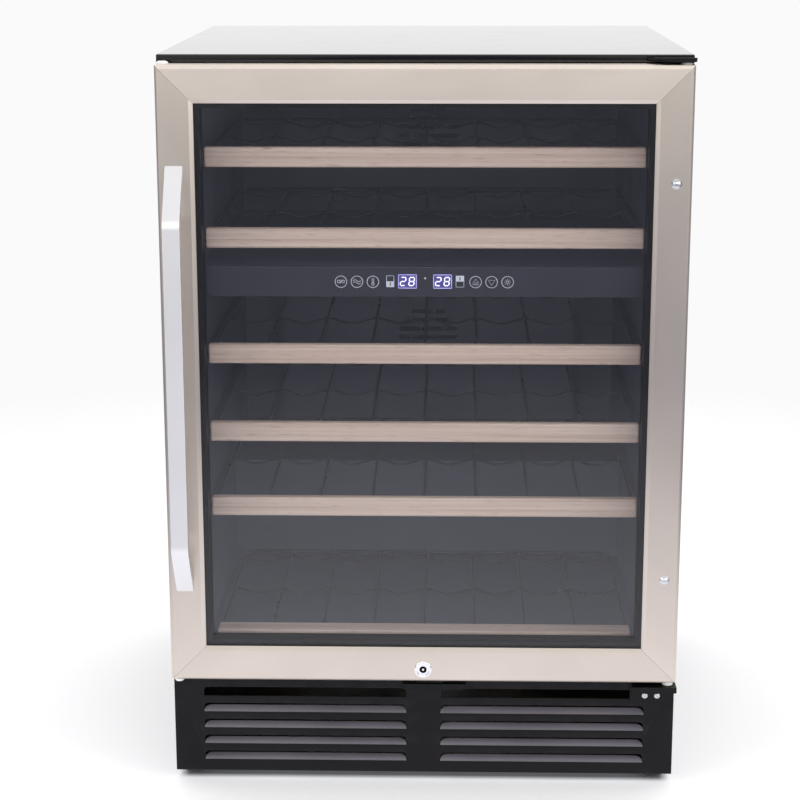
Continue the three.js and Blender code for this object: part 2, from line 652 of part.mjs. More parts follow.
// The plastic frame inside the steel, which holds the glass, the hinge bores and the lock.
function doorInnerFrame() {
  const back = GLASS.inner[1] + GAP;
  const body = plate(ringInDoor(RAIL_SHEET + GAP, GLASS.edge - GAP), EDGE_RADIUS + 0.2, DOOR_THICKNESS);
  const flange = plate(ringInDoor(RAIL_SHEET + GAP, GLASS.spacerEdge), back, DOOR_THICKNESS);
  const bore = (z) => rodZ(HINGE.x, deep(HINGE.depth), z - 16, z + 16, HINGE.boreRadius);
  const camBack = CAM.front + CAM.thickness;
  const barrel = rodY(0, LOCK.z, 0, camBack + 1, LOCK.boreRadius, 24);
  const camRoom = block(-9, CAM.length + 3, CAM.front - 1, camBack + 1, DOOR_BOTTOM_Z, LOCK.z + 9);
  const frame = cut(join(body, flange), bore(DOOR_TOP_Z), bore(DOOR_BOTTOM_Z), barrel, camRoom);
  add("door_inner_frame", frame, doorPlastic);
}

function doorGasket() {
  const ring = ringInDoor(GASKET.outer, GASKET.inner);
  add("door_gasket", plate(ring, DOOR_THICKNESS + GAP, CABINET_FRONT - GAP), gasketRubber);
}

// The handle is one flat bar with both ends bent back to the door: an outer line and the same line moved in.
function doorHandle() {
  const { x, width, thickness, halfHeight, leg, bend } = HANDLE;
  const slope = Math.atan2(HANDLE_REACH, leg);
  const centreOut = HANDLE_REACH - thickness - bend;
  const outerRadius = bend + thickness;
  const legRun = (centreOut + outerRadius * Math.cos(slope) - GAP) / Math.tan(slope);
  const gripHalf = halfHeight - outerRadius * Math.sin(slope) - legRun;
  const steps = 4;
  const line = (inset) => {
    const radius = outerRadius - inset;
    const points = [];
    for (let i = 0; i <= steps; i += 1) {
      const angle = (i / steps) * slope;
      points.push([gripHalf + radius * Math.sin(angle), centreOut + radius * Math.cos(angle)]);
    }
    const [endZ, endOut] = points[steps];
    points.push([endZ + (endOut - GAP) / Math.tan(slope), GAP]);
    return points;
  };
  const bothEnds = (points) => [...points.map(([z, out]) => [-z, out]).reverse(), ...points];
  const outline = [...bothEnds(line(0)), ...bothEnds(line(thickness)).reverse()];
  const points = outline.map(([z, out]) => new THREE.Vector2(DOOR_FACE_Y - out, DOOR_MID_Z + z));
  const shape = new THREE.Shape(points);
  add("door_handle", sidewaysPlate(shape, x - width / 2, x + width / 2), brightAluminium);
}

function lock() {
  const rim = rodY(0, LOCK.z, -LOCK.rimReach, -GAP, LOCK.rimRadius, 32);
  const barrel = rodY(0, LOCK.z, -1, CAM.front - GAP, 8, 24);
  const keyhole = block(-1, 1, -3, 1.5, LOCK.z - 4, LOCK.z + 4);
  add("lock_barrel", cut(join(rim, barrel), keyhole), chrome);
  const { length, halfWidth, front, thickness } = CAM;
  const cam = block(-halfWidth, length, front, front + thickness, LOCK.z - halfWidth, LOCK.z + halfWidth);
  add("lock_cam", cam, zinc);
}

// ---- shelves ------------------------------------------------------------------------------------
// A rack is one flat grid: rods round the edge, lengthways wires between the bottles and one wire across.
function wireRack(front, back, half, z, rod) {
  const wire = 4;
  const bays = 7;
  const pitch = (2 * half) / bays;
  const middle = (front + back) / 2;
  const gaps = [];
  for (let i = 0; i < bays; i += 1) {
    const left = -half + i * pitch + (i === 0 ? rod : wire / 2);
    const right = -half + (i + 1) * pitch - (i === bays - 1 ? rod : wire / 2);
    gaps.push(block(left, right, front + rod, middle - wire / 2, z - rod, z + rod));
    gaps.push(block(left, right, middle + wire / 2, back - rod, z - rod, z + rod));
  }
  return cut(wideBlock(half, front, back, z - rod / 2, z + rod / 2), ...gaps);
}

function woodenFront(half, front, thickness, lowZ, height) {
  const r = 2.5;
  const [y0, y1, z1] = [deep(front), deep(front + thickness), lowZ + height];
  const section = new THREE.Shape();
  section.moveTo(y0, lowZ + r);
  section.absarc(y0 + r, lowZ + r, r, Math.PI, 1.5 * Math.PI);
  section.lineTo(y1, lowZ);
  section.lineTo(y1, z1);
  section.absarc(y0 + r, z1 - r, r, Math.PI / 2, Math.PI);
  return sidewaysPlate(section, -half, half, 3);
}

function shelves() {
  const names = ["top", "second", "third", "fourth", "fifth"];
  SHELF_LOW_Z.forEach((lowZ, i) => {
    const rodZLevel = lowZ + SHELF.height / 2;
    const { halfWidth, front, thickness, height, rackEnd, rod } = SHELF;
    add(`${names[i]}_shelf_front`, woodenFront(halfWidth, front, thickness, lowZ, height), beech);
    const rack = wireRack(front + thickness + GAP, rackEnd, halfWidth, rodZLevel, rod);
    add(`${names[i]}_shelf_rack`, rack, blackWire);
  });
  const { halfWidth, lowZ, height, thickness, rackEnd } = FLOOR_BOARD;
  add("floor_shelf_front", woodenFront(halfWidth, SHELF.front, thickness, lowZ, height), beech);
  const rack = wireRack(SHELF.front + thickness + GAP, rackEnd, halfWidth, lowZ + 4, SHELF.rod);
  add("floor_shelf_rack", rack, blackWire);
}

// ---- assembly -----------------------------------------------------------------------------------
sidePanels();
topPanel();
backPanel();
cordGland();
innerLiner();
insulationFoam();
zoneDivider();
controls();
for (const zone of ZONES) {
  ductCover(zone);
  zoneFan(zone);
  evaporator(zone);
}
lightBars();
basePan();
for (const [name, x, depth] of feetPlaces) {
  levellingFoot(name, x, depth);
}
compressor();
condenser();
condenserFan();
frontGrille();
hingeBrackets();
lockStrike();
doorFrame();
doorGlass();
doorInnerFrame();
doorGasket();
doorHandle();
lock();
shelves();

export default cooler;
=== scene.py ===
import json
import math

import bmesh
import bpy
import numpy as np
from mathutils import Matrix, Vector


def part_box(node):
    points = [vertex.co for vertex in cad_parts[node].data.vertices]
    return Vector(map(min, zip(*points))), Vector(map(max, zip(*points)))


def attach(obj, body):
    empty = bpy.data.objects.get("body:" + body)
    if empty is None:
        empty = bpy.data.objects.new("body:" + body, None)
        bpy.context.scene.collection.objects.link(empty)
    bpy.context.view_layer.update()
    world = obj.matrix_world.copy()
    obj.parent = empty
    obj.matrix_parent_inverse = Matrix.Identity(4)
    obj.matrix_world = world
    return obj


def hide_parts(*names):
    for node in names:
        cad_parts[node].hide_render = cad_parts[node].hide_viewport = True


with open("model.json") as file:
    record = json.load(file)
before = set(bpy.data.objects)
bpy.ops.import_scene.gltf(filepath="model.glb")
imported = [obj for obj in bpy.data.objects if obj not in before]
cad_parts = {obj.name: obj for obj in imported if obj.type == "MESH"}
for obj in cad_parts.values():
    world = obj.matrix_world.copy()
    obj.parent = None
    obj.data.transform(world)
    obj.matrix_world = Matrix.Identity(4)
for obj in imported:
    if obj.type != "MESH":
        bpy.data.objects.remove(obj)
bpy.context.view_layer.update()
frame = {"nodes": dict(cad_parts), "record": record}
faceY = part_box("door_top_rail")[0].y  # the door's front face
scene = bpy.context.scene
scene.view_settings.view_transform = "Standard"

# ---- camera: a long lens, a little above the cooler and turned slightly to its left
view = {"place": (0.0280, -2.4901, 1.0200), "yaw": -1.414, "pitch": 13.712, "roll": -0.067, "lens": 90.6}


def makeCamera():
    yaw, pitch, roll = (math.radians(view[k]) for k in ("yaw", "pitch", "roll"))
    ahead = Vector((math.sin(yaw) * math.cos(pitch), math.cos(yaw) * math.cos(pitch), -math.sin(pitch)))
    level = Vector((math.cos(yaw), -math.sin(yaw), 0))
    upright = level.cross(ahead)
    right = math.cos(roll) * level + math.sin(roll) * upright
    up = right.cross(ahead)
    data = bpy.data.cameras.new("camera")
    data.lens, data.sensor_width = view["lens"], 36
    data.clip_end = 200
    camera = bpy.data.objects.new("camera", data)
    scene.collection.objects.link(camera)
    camera.matrix_world = Matrix.Translation(view["place"]) @ Matrix((right, up, -ahead)).transposed().to_4x4()
    scene.camera = camera


makeCamera()
print("camera placed")


# ---- shapes. Points are x, depth behind the door's front and height, all in mm, and addPiece makes metres.
def nodeBox(node):
    low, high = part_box(node)
    return [np.array([c.x, c.y - faceY, c.z]) * 1000 for c in (low, high)]


def runningLength(points, wrap):
    # distance walked along the rows of a grid, averaged over its columns
    walked = np.concatenate([points, points[:1]]) if wrap else points
    steps = np.linalg.norm(np.diff(walked, axis=0), axis=2).mean(1)
    return np.concatenate([[0], np.cumsum(steps)])


def gridPart(points, wrapRows=False, wrapColumns=True):
    # quads between the neighbours of a grid of points; a ring left open at either end gets one flat face
    rows, columns = points.shape[:2]
    i = np.arange(rows if wrapRows else rows - 1)[:, None] + 0 * np.arange(columns if wrapColumns else columns - 1)
    j = 0 * i + np.arange(i.shape[1])
    nextI, nextJ = (i + 1) % rows, (j + 1) % columns
    corners = [i * columns + j, nextI * columns + j, nextI * columns + nextJ, i * columns + nextJ]
    quads = np.stack(corners, -1).reshape(-1, 4)
    along, across = runningLength(points, wrapRows), runningLength(points.swapaxes(0, 1), wrapColumns)
    uv = np.stack([[along[i], across[j]], [along[i + 1], across[j]], [along[i + 1], across[j + 1]],
                   [along[i], across[j + 1]]])
    uv = uv.transpose(2, 3, 0, 1).reshape(-1, 2)
    flat = points.reshape(-1, 3)
    ends = []
    if not wrapRows:
        first = np.arange(columns)
        ends = [first, (first + (rows - 1) * columns)[::-1]]
    fans = [np.stack([np.full(columns - 2, e[0]), e[1:-1], e[2:]], -1) for e in ends]
    triangles = np.concatenate([quads[:, :3], quads[:, [0, 2, 3]], *fans])
    a, b, c = (flat[triangles[:, k]] - flat.mean(0) for k in range(3))
    if np.einsum("ij,ij->i", a, np.cross(b, c)).sum() < 0:  # inside out, so every face is turned round
        quads = quads[:, ::-1]
        uv = uv.reshape(-1, 4, 2)[:, ::-1].reshape(-1, 2)
        ends = [e[::-1] for e in ends]
    return {"points": flat, "quads": quads, "uv": uv, "ends": ends}


def rounded(low, high, radius, steps=3):
    # a ball's surface pulled apart to a box's eight corners: corner + radius * direction
    low, high = np.array(low, float), np.array(high, float)
    quarter = np.linspace(0, math.pi / 2, steps + 1)
    around = np.concatenate([quarter + k * math.pi / 2 for k in range(4)])
    rise = np.concatenate([quarter - math.pi / 2, quarter])[:, None]
    way = np.stack([np.cos(rise) * np.cos(around), np.cos(rise) * np.sin(around),
                    np.sin(rise) + 0 * around], -1)
    sideX = np.repeat([1, -1, -1, 1], steps + 1) + 0 * rise
    sideY = np.repeat([1, 1, -1, -1], steps + 1) + 0 * rise
    sideZ = np.repeat([-1, 1], steps + 1)[:, None] + 0 * around
    half = (high - low) / 2 - radius
    return gridPart((low + high) / 2 + np.stack([sideX, sideY, sideZ], -1) * half + radius * way)


def sweep(profile, path, side, up, wrap=False):
    # every profile point (a, b) goes to path + a * side + b * up
    profile, path = np.array(profile, float), np.array(path, float)
    side, up = (np.broadcast_to(np.array(v, float), path.shape) for v in (side, up))
    return gridPart(path[:, None] + side[:, None] * profile[:, :1] + up[:, None] * profile[:, 1:], wrap)


def circle(radius, sides):
    turn = np.arange(sides) / sides * 2 * math.pi
    return radius * np.stack([np.cos(turn), np.sin(turn)], -1)


def tube(path, radius, sides=8, reference=(0, 0, 1), wrap=False):
    # a circle carried along a path, square to the path's direction
    path = np.array(path, float)
    if wrap:
        way = np.roll(path, -1, 0) - np.roll(path, 1, 0)
    else:
        way = np.gradient(path, axis=0)
    way /= np.linalg.norm(way, axis=1)[:, None]
    side = np.cross(way, reference)
    side /= np.linalg.norm(side, axis=1)[:, None]
    return sweep(circle(radius, sides), path, side, np.cross(side, way), wrap)


axes = {
    "x": ((0, 1, 0), (0, 0, 1), (1, 0, 0)),
    "y": ((1, 0, 0), (0, 0, 1), (0, 1, 0)),
    "z": ((1, 0, 0), (0, 1, 0), (0, 0, 1)),
}


def lathe(profile, centre, axis="y", sides=32, wrap=False):
    # a profile of (radius, height) points turned about an axis; radius may also change with the angle
    first, second, along = (np.array(v, float) for v in axes[axis])
    turn = np.arange(sides) / sides * 2 * math.pi
    radius = np.stack([np.broadcast_to(r, sides) for r, _ in profile])[..., None]
    height = np.array([h for _, h in profile])[:, None, None]
    spokes = np.cos(turn)[:, None] * first + np.sin(turn)[:, None] * second
    return gridPart(np.array(centre, float) + radius * spokes + height * along, wrap)


def arc(centreA, centreB, radius, start, end, steps):
    # points on a circle in a profile's plane, from one angle in degrees to another
    turn = np.radians(np.linspace(start, end, steps + 1))
    return [(centreA + radius * math.cos(t), centreB + radius * math.sin(t)) for t in turn]


def doorRing(profile, halfWidth, lowZ, highZ):
    # a profile of (distance in from the edge, depth) carried round a rectangle with mitred corners
    inward, depth = np.array(profile, float).T
    signX, signZ = np.array([-1, 1, 1, -1])[:, None], np.array([-1, -1, 1, 1])[:, None]
    x = signX * (halfWidth - inward)
    z = (lowZ + highZ) / 2 + signZ * ((highZ - lowZ) / 2 - inward)
    return gridPart(np.stack([x, depth + 0 * x, z], -1), wrapRows=True)


def prism(outline, low, high, axis="z"):
    # an outline of (x, depth) points drawn out in height, or of (x, height) points drawn out in depth
    outline = np.array(outline, float)
    rows = [np.insert(outline, 2 if axis == "z" else 1, level, axis=1) for level in (low, high)]
    return gridPart(np.stack(rows))


def moved(part, turn=None, shift=(0, 0, 0)):
    points = part["points"] if turn is None else part["points"] @ np.array(turn, float).T
    return {**part, "points": points + np.array(shift, float)}


def meshOf(name, parts):
    points = np.concatenate([p["points"] for p in parts]) / 1000
    points[:, 1] += faceY
    faces, uv, start = [], [], 0
    for p in parts:
        faces += (p["quads"] + start).tolist() + [(e + start).tolist() for e in p["ends"]]
        uv += [p["uv"]] + [p["points"][e][:, [0, 2]] for e in p["ends"]]
        start += len(p["points"])
    mesh = bpy.data.meshes.new(name)
    mesh.from_pydata(points.tolist(), [], faces)
    layer = mesh.uv_layers.new(name="along")
    layer.data.foreach_set("uv", (np.concatenate(uv) / 1000).astype(np.float32).ravel())
    welded = bmesh.new()
    welded.from_mesh(mesh)
    bmesh.ops.remove_doubles(welded, verts=welded.verts, dist=1e-6)
    welded.to_mesh(mesh)
    welded.free()
    return mesh


def addPiece(name, body, slot, parts, replaced=(), material=None, holes=(), sharp=32):
    # the parts become one mesh on a body, with holes cut out of it, smooth apart from its sharp edges
    piece = bpy.data.objects.new(name, meshOf(name, parts))
    scene.collection.objects.link(piece)
    if holes:
        cutter = bpy.data.objects.new("cutter", meshOf("cutter", holes))
        scene.collection.objects.link(cutter)
        cut = piece.modifiers.new("cut", "BOOLEAN")
        cut.object, cut.operation, cut.solver = cutter, "DIFFERENCE", "EXACT"
        bpy.context.view_layer.update()
        done = bpy.data.meshes.new_from_object(piece.evaluated_get(bpy.context.evaluated_depsgraph_get()))
        piece.modifiers.clear()
        piece.data = done
        bpy.data.objects.remove(cutter)
    piece.data.materials.clear()
    piece.data.materials.append(material or finishes[slot])
    piece.data.shade_smooth()
    piece.data.set_sharp_from_angle(angle=math.radians(sharp))
    piece.modifiers.new("flat faces stay flat", "WEIGHTED_NORMAL").keep_sharp = True
    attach(piece, body)
    if replaced:
        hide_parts(*replaced)


# ---- shader groups that several finishes share
def newGroup(name, inputs, outputs):
    group = bpy.data.node_groups.new(name, "ShaderNodeTree")
    for label, kind, value in inputs:
        socket = group.interface.new_socket(label, in_out="INPUT", socket_type=kind)
        if value is not None:
            socket.default_value = value
    for label, kind in outputs:
        group.interface.new_socket(label, in_out="OUTPUT", socket_type=kind)
    return group, group.nodes.new("NodeGroupInput"), group.nodes.new("NodeGroupOutput")


def feed(tree, node, links):
    # sockets linked or set; links maps an input's name or number to another node's socket or to a value
    for key, value in links.items():
        if isinstance(value, bpy.types.NodeSocket):
            tree.links.new(value, node.inputs[key])
        else:
            node.inputs[key].default_value = value
    return node


def addNode(tree, kind, links=None, **settings):
    node = tree.nodes.new("ShaderNode" + kind)
    for key, value in settings.items():
        setattr(node, key, value)
    return feed(tree, node, links or {})


def remap(tree, value, low, high, toLow=0.0, toHigh=1.0):
    links = {"Value": value, "From Min": low, "From Max": high, "To Min": toLow, "To Max": toHigh}
    return addNode(tree, "MapRange", links, clamp=True).outputs[0]


def multiply(tree, a, b):
    return addNode(tree, "Math", {0: a, 1: b}, operation="MULTIPLY").outputs[0]


def makeBrushedGrain():
    # fine streaks along U, and slow cloudy changes of tone
    group, entry, exit = newGroup("brushedGrain", [("Vector", "NodeSocketVector", None),
                                                   ("Streak", "NodeSocketVector", (9, 2600, 2600))],
                                  [("Streaks", "NodeSocketFloat"), ("Clouds", "NodeSocketFloat")])
    scaled = addNode(group, "VectorMath", {0: entry.outputs[0], 1: entry.outputs[1]}, operation="MULTIPLY")
    noise = addNode(group, "TexNoise", {"Vector": scaled.outputs[0], "Scale": 1, "Detail": 4, "Roughness": 0.6})
    clouds = addNode(group, "TexNoise", {"Vector": entry.outputs[0], "Scale": 7, "Detail": 3})
    group.links.new(remap(group, noise.outputs[0], 0.25, 0.75), exit.inputs[0])
    group.links.new(remap(group, clouds.outputs[0], 0.3, 0.7), exit.inputs[1])
    return group


def makeMouldedSkin():
    # the fine pebbled skin of moulded plastic and powder paint
    group, entry, exit = newGroup("mouldedSkin", [("Vector", "NodeSocketVector", None),
                                                  ("Scale", "NodeSocketFloat", 900)],
                                  [("Height", "NodeSocketFloat"), ("Mottle", "NodeSocketFloat")])
    cells = addNode(group, "TexVoronoi", {"Vector": entry.outputs[0], "Scale": entry.outputs[1]})
    noise = addNode(group, "TexNoise", {"Vector": entry.outputs[0], "Scale": entry.outputs[1], "Detail": 3})
    mottle = addNode(group, "TexNoise", {"Vector": entry.outputs[0], "Scale": 14, "Detail": 4})
    both = addNode(group, "Math", {0: cells.outputs[0], 1: noise.outputs[0]}, operation="ADD")
    group.links.new(both.outputs[0], exit.inputs[0])
    group.links.new(remap(group, mottle.outputs[0], 0.3, 0.7), exit.inputs[1])
    return group


def makeDustFilm():
    # where dust settles: faces that look up, in loose patches
    group, entry, exit = newGroup("dustFilm", [("Vector", "NodeSocketVector", None),
                                               ("Amount", "NodeSocketFloat", 0.3)],
                                  [("Mask", "NodeSocketFloat")])
    facing = addNode(group, "NewGeometry")
    parts = addNode(group, "SeparateXYZ", {0: facing.outputs["Normal"]})
    patches = addNode(group, "TexNoise", {"Vector": entry.outputs[0], "Scale": 22, "Detail": 6, "Roughness": 0.7})
    up = remap(group, parts.outputs[2], 0.4, 1)
    mask = multiply(group, multiply(group, up, remap(group, patches.outputs[0], 0.35, 0.75)), entry.outputs[1])
    group.links.new(mask, exit.inputs[0])
    return group


def makeEdgeWear():
    # the rubbed line along outer edges, broken up by noise
    group, entry, exit = newGroup("edgeWear", [("Vector", "NodeSocketVector", None),
                                               ("Amount", "NodeSocketFloat", 0.5)],
                                  [("Mask", "NodeSocketFloat")])
    shape = addNode(group, "NewGeometry")
    noise = addNode(group, "TexNoise", {"Vector": entry.outputs[0], "Scale": 60, "Detail": 5})
    edge = remap(group, shape.outputs["Pointiness"], 0.52, 0.62)
    mask = multiply(group, multiply(group, edge, remap(group, noise.outputs[0], 0.35, 0.6)), entry.outputs[1])
    group.links.new(mask, exit.inputs[0])
    return group


groups = {"grain": makeBrushedGrain(), "skin": makeMouldedSkin(), "dust": makeDustFilm(), "wear": makeEdgeWear()}
print("shader groups made")


# ---- finishes
def linear(colour):
    # a screen colour of 0 to 255 as the light that it stands for
    c = np.array(colour, float) / 255
    return (*np.where(c <= 0.04045, c / 12.92, ((c + 0.055) / 1.055) ** 2.4), 1.0)


def newFinish(name, **sockets):
    material = bpy.data.materials.new(name)
    material.use_nodes = True
    tree = material.node_tree
    shader = tree.nodes["Principled BSDF"]
    for key, value in sockets.items():
        shader.inputs[key.replace("_", " ")].default_value = value
    return material, tree, shader


def placeGroup(tree, key, links):
    node = tree.nodes.new("ShaderNodeGroup")
    node.node_tree = groups[key]
    return feed(tree, node, links)


def mixColour(tree, mask, first, second):
    return addNode(tree, "Mix", {0: mask, 6: first, 7: second}, data_type="RGBA").outputs[2]


def bumpFrom(tree, shader, height, distance, strength=1.0):
    bump = addNode(tree, "Bump", {"Height": height, "Distance": distance, "Strength": strength})
    tree.links.new(bump.outputs[0], shader.inputs["Normal"])


brushed = {
    "door_steel": {"tone": (229, 218, 206), "dark": (217, 206, 194), "rough": (0.27, 0.36), "aniso": 0.7},
    "handle_metal": {"tone": (244, 243, 243), "dark": (235, 234, 235), "rough": (0.42, 0.5), "aniso": 0.2},
}


def brushedFinish(name, tone, dark, rough, aniso):
    # streaks run along the piece's own U, and the shine spreads across them
    material, tree, shader = newFinish(name, Metallic=1.0, Anisotropic=aniso, Anisotropic_Rotation=0.25)
    uv = addNode(tree, "UVMap", uv_map="along").outputs[0]
    grain = placeGroup(tree, "grain", {"Vector": uv})
    clouds = mixColour(tree, grain.outputs[1], linear(dark), linear(tone))
    streaked = mixColour(tree, multiply(tree, grain.outputs[0], 0.25), clouds, linear(tone))
    shine = remap(tree, grain.outputs[0], 0, 1, *rough)
    tangent = addNode(tree, "Tangent", direction_type="UV_MAP", uv_map="along").outputs[0]
    feed(tree, shader, {"Base Color": streaked, "Roughness": shine, "Tangent": tangent})
    bumpFrom(tree, shader, grain.outputs[0], 0.00002, 0.5)
    return material


# painted, moulded and plated finishes: two tones, lowest and highest roughness, scale and depth of the skin,
# and whatever is not plain about them: metal, dust, rubbed edges, a weaker or stronger shine
plain = {
    "painted_steel": ((15, 15, 16), (20, 20, 21), 0.42, 0.5, 1500, 3e-5, {"dust": 0.04, "shine": 0.3}),
    "zinc_steel": ((150, 154, 158), (188, 191, 194), 0.3, 0.5, 260, 1e-5, {"metal": 1}),
    "foam": ((205, 182, 120), (226, 205, 150), 0.9, 1, 400, 4e-4, {}),
    "liner": ((86, 87, 100), (93, 94, 107), 0.45, 0.55, 1100, 5e-6, {}),
    "fascia": ((46, 46, 54), (52, 52, 60), 0.16, 0.24, 1600, 2e-6, {}),
    "key": ((34, 34, 40), (40, 40, 46), 0.22, 0.3, 1600, 2e-6, {}),
    "fan": ((38, 38, 42), (50, 50, 54), 0.45, 0.6, 900, 4e-5, {}),
    "coil": ((128, 131, 134), (152, 155, 158), 0.45, 0.6, 320, 2e-5, {"metal": 1}),
    "lamp": ((214, 219, 228), (230, 234, 240), 0.3, 0.4, 700, 3e-5, {}),
    "compressor_paint": ((14, 14, 16), (22, 22, 24), 0.3, 0.45, 700, 6e-5, {"dust": 0.3}),
    "condenser_wire": ((20, 20, 22), (30, 30, 32), 0.3, 0.45, 900, 4e-5, {"dust": 0.3}),
    "grille": ((18, 16, 19), (22, 20, 23), 0.42, 0.5, 1300, 3e-5, {"wear": 0.04, "shine": 0.15}),
    # the blades are pressed from the grille's own black sheet: their lighter tone is painted light, for the light
    # that falls on them
    "blade": ((98, 95, 103), (110, 107, 115), 0.3, 0.38, 1300, 2e-5, {"shine": 0.7}),
    "bracket": ((12, 12, 13), (16, 16, 17), 0.4, 0.48, 900, 3e-5, {"shine": 0.2}),
    "door_plastic": ((9, 9, 11), (13, 13, 15), 0.46, 0.56, 1200, 2e-5, {"shine": 0.2}),
    "gasket": ((26, 26, 29), (34, 34, 37), 0.62, 0.75, 900, 4e-5, {}),
    "lock_chrome": ((236, 236, 238), (246, 246, 248), 0.08, 0.16, 300, 4e-6, {"metal": 1}),
    "lock_zinc": ((168, 170, 172), (196, 198, 200), 0.3, 0.45, 420, 2e-5, {"metal": 1}),
    "shelf_wire": ((26, 26, 29), (36, 36, 39), 0.26, 0.38, 1200, 4e-5, {}),
    "foot_rubber": ((16, 16, 18), (24, 24, 26), 0.6, 0.75, 700, 8e-5, {}),
    "gland_rubber": ((20, 20, 22), (30, 30, 32), 0.6, 0.75, 700, 6e-5, {}),
    "nylon": ((232, 232, 230), (245, 245, 243), 0.35, 0.45, 900, 3e-5, {}),
    "steel_screw": ((200, 202, 205), (226, 228, 230), 0.2, 0.32, 500, 1e-5, {"metal": 1}),
}
rubbedTone, dustTone = (150, 150, 152), (170, 166, 160)


def plainFinish(name, first, second, smooth, coarse, scale, depth, metal=0, dust=0.0, wear=0.0, shine=0.5):
    material, tree, shader = newFinish(name, Metallic=float(metal), Specular_IOR_Level=shine)
    place = addNode(tree, "TexCoord").outputs["Object"]
    texture = placeGroup(tree, "skin", {"Vector": place, "Scale": float(scale)})
    colour = mixColour(tree, texture.outputs[1], linear(first), linear(second))
    if wear:
        rubbed = placeGroup(tree, "wear", {"Vector": place, "Amount": wear})
        colour = mixColour(tree, rubbed.outputs[0], colour, linear(rubbedTone))
    if dust:
        film = placeGroup(tree, "dust", {"Vector": place, "Amount": dust})
        colour = mixColour(tree, film.outputs[0], colour, linear(dustTone))
    feed(tree, shader, {"Base Color": colour, "Roughness": remap(tree, texture.outputs[1], 0, 1, smooth, coarse)})
    bumpFrom(tree, shader, texture.outputs[0], depth)
    return material


glossTop = {"tone": (4, 4, 5), "smear": (7, 7, 8), "dust": (200, 198, 195), "rough": (0.05, 0.1)}


def glossTopFinish():
    # black lacquer under a clear coat, with faint smears
    material, tree, shader = newFinish("gloss_top", IOR=1.45, Coat_Weight=0.1, Coat_Roughness=0.04, Coat_IOR=1.5)
    place = addNode(tree, "TexCoord").outputs["Object"]
    smears = addNode(tree, "TexNoise", {"Vector": place, "Scale": 9, "Detail": 6, "Distortion": 0.6}).outputs[0]
    mask = remap(tree, smears, 0.35, 0.7)
    colour = mixColour(tree, mask, linear(glossTop["tone"]), linear(glossTop["smear"]))
    film = placeGroup(tree, "dust", {"Vector": place, "Amount": 0.02})
    feed(tree, shader, {"Base Color": mixColour(tree, film.outputs[0], colour, linear(glossTop["dust"])),
                        "Roughness": remap(tree, mask, 0, 1, *glossTop["rough"])})
    return material


beech = {
    "pale": (248, 223, 206), "mid": (218, 187, 168), "fleck": (166, 124, 100), "rough": (0.42, 0.55),
    "rings": (2.2, 150, 240), "flecks": (42, 620, 620), "pores": (120, 2600, 2600),
}


def beechFinish():
    # long tone bands, fine pores and short dark flecks, all drawn out along the board
    material, tree, shader = newFinish("shelf_wood", Coat_Weight=0.15, Coat_Roughness=0.3)
    place = addNode(tree, "TexCoord").outputs["Object"]

    def drawnOut(scale, detail):
        stretched = addNode(tree, "VectorMath", {0: place, 1: scale}, operation="MULTIPLY").outputs[0]
        return addNode(tree, "TexNoise", {"Vector": stretched, "Scale": 1, "Detail": detail,
                                          "Distortion": 0.3}).outputs[0]

    bands = remap(tree, drawnOut(beech["rings"], 3), 0.32, 0.68)
    flecks = remap(tree, drawnOut(beech["flecks"], 2), 0.6, 0.72)
    colour = mixColour(tree, bands, linear(beech["mid"]), linear(beech["pale"]))
    colour = mixColour(tree, multiply(tree, flecks, 0.55), colour, linear(beech["fleck"]))
    feed(tree, shader, {"Base Color": colour, "Roughness": remap(tree, bands, 0, 1, *beech["rough"])})
    bumpFrom(tree, shader, drawnOut(beech["pores"], 1), 0.00006)
    return material


glass = {"tint": (0.92, 0.928, 0.94, 1), "half": (0.959, 0.963, 0.97, 1), "bend": 1.38}


def glassFinish():
    # tinted glass that lets lamps shine through, with slow waves in its face
    material, tree, shader = newFinish("door_glass", IOR=glass["bend"], Transmission_Weight=1.0, Roughness=0.0)
    feed(tree, shader, {"Base Color": glass["tint"]})
    place = addNode(tree, "TexCoord").outputs["Object"]
    waves = addNode(tree, "TexNoise", {"Vector": place, "Scale": 5, "Detail": 1}).outputs[0]
    bumpFrom(tree, shader, waves, 0.0003)
    clear = addNode(tree, "BsdfTransparent", {"Color": glass["half"]})
    shadow = addNode(tree, "LightPath").outputs["Is Shadow Ray"]
    mix = addNode(tree, "MixShader", {0: shadow, 1: shader.outputs[0], 2: clear.outputs[0]})
    tree.links.new(mix.outputs[0], tree.nodes["Material Output"].inputs["Surface"])
    return material


def litFinish(name, colour, strength, ground=(20, 20, 26)):
    # a lit face: its own light over dark plastic, a little uneven
    material, tree, shader = newFinish(name, Roughness=0.3, Emission_Strength=strength)
    place = addNode(tree, "TexCoord").outputs["Object"]
    uneven = addNode(tree, "TexNoise", {"Vector": place, "Scale": 300, "Detail": 2}).outputs[0]
    glow = mixColour(tree, remap(tree, uneven, 0.2, 0.8), linear(tuple(c * 0.92 for c in colour)), linear(colour))
    feed(tree, shader, {"Base Color": linear(ground), "Emission Color": glow})
    return material


finishes = {name: brushedFinish(name, **values) for name, values in brushed.items()}
finishes.update({name: plainFinish(name, *values, **more) for name, (*values, more) in plain.items()})
finishes["gloss_top"] = glossTopFinish()
finishes["shelf_wood"] = beechFinish()
finishes["door_glass"] = glassFinish()
lit = {  # colour, strength and, where it isn't dark plastic, the tone below the light
    "display_ground": ((84, 76, 168), 0.85),
    "display_lines": ((176, 172, 232), 1.9),
    "display_digits": ((238, 234, 255), 2.4),
    "printed_white": ((176, 178, 188), 1.1, (150, 152, 160)),
}
finishes.update({name: litFinish(name, *values) for name, values in lit.items()})

for part in frame["record"]["subparts"]:
    target = frame["nodes"][part["node"]]
    target.data.materials.clear()
    target.data.materials.append(finishes[part["material_slot"]])
print("finishes made:", len(finishes))

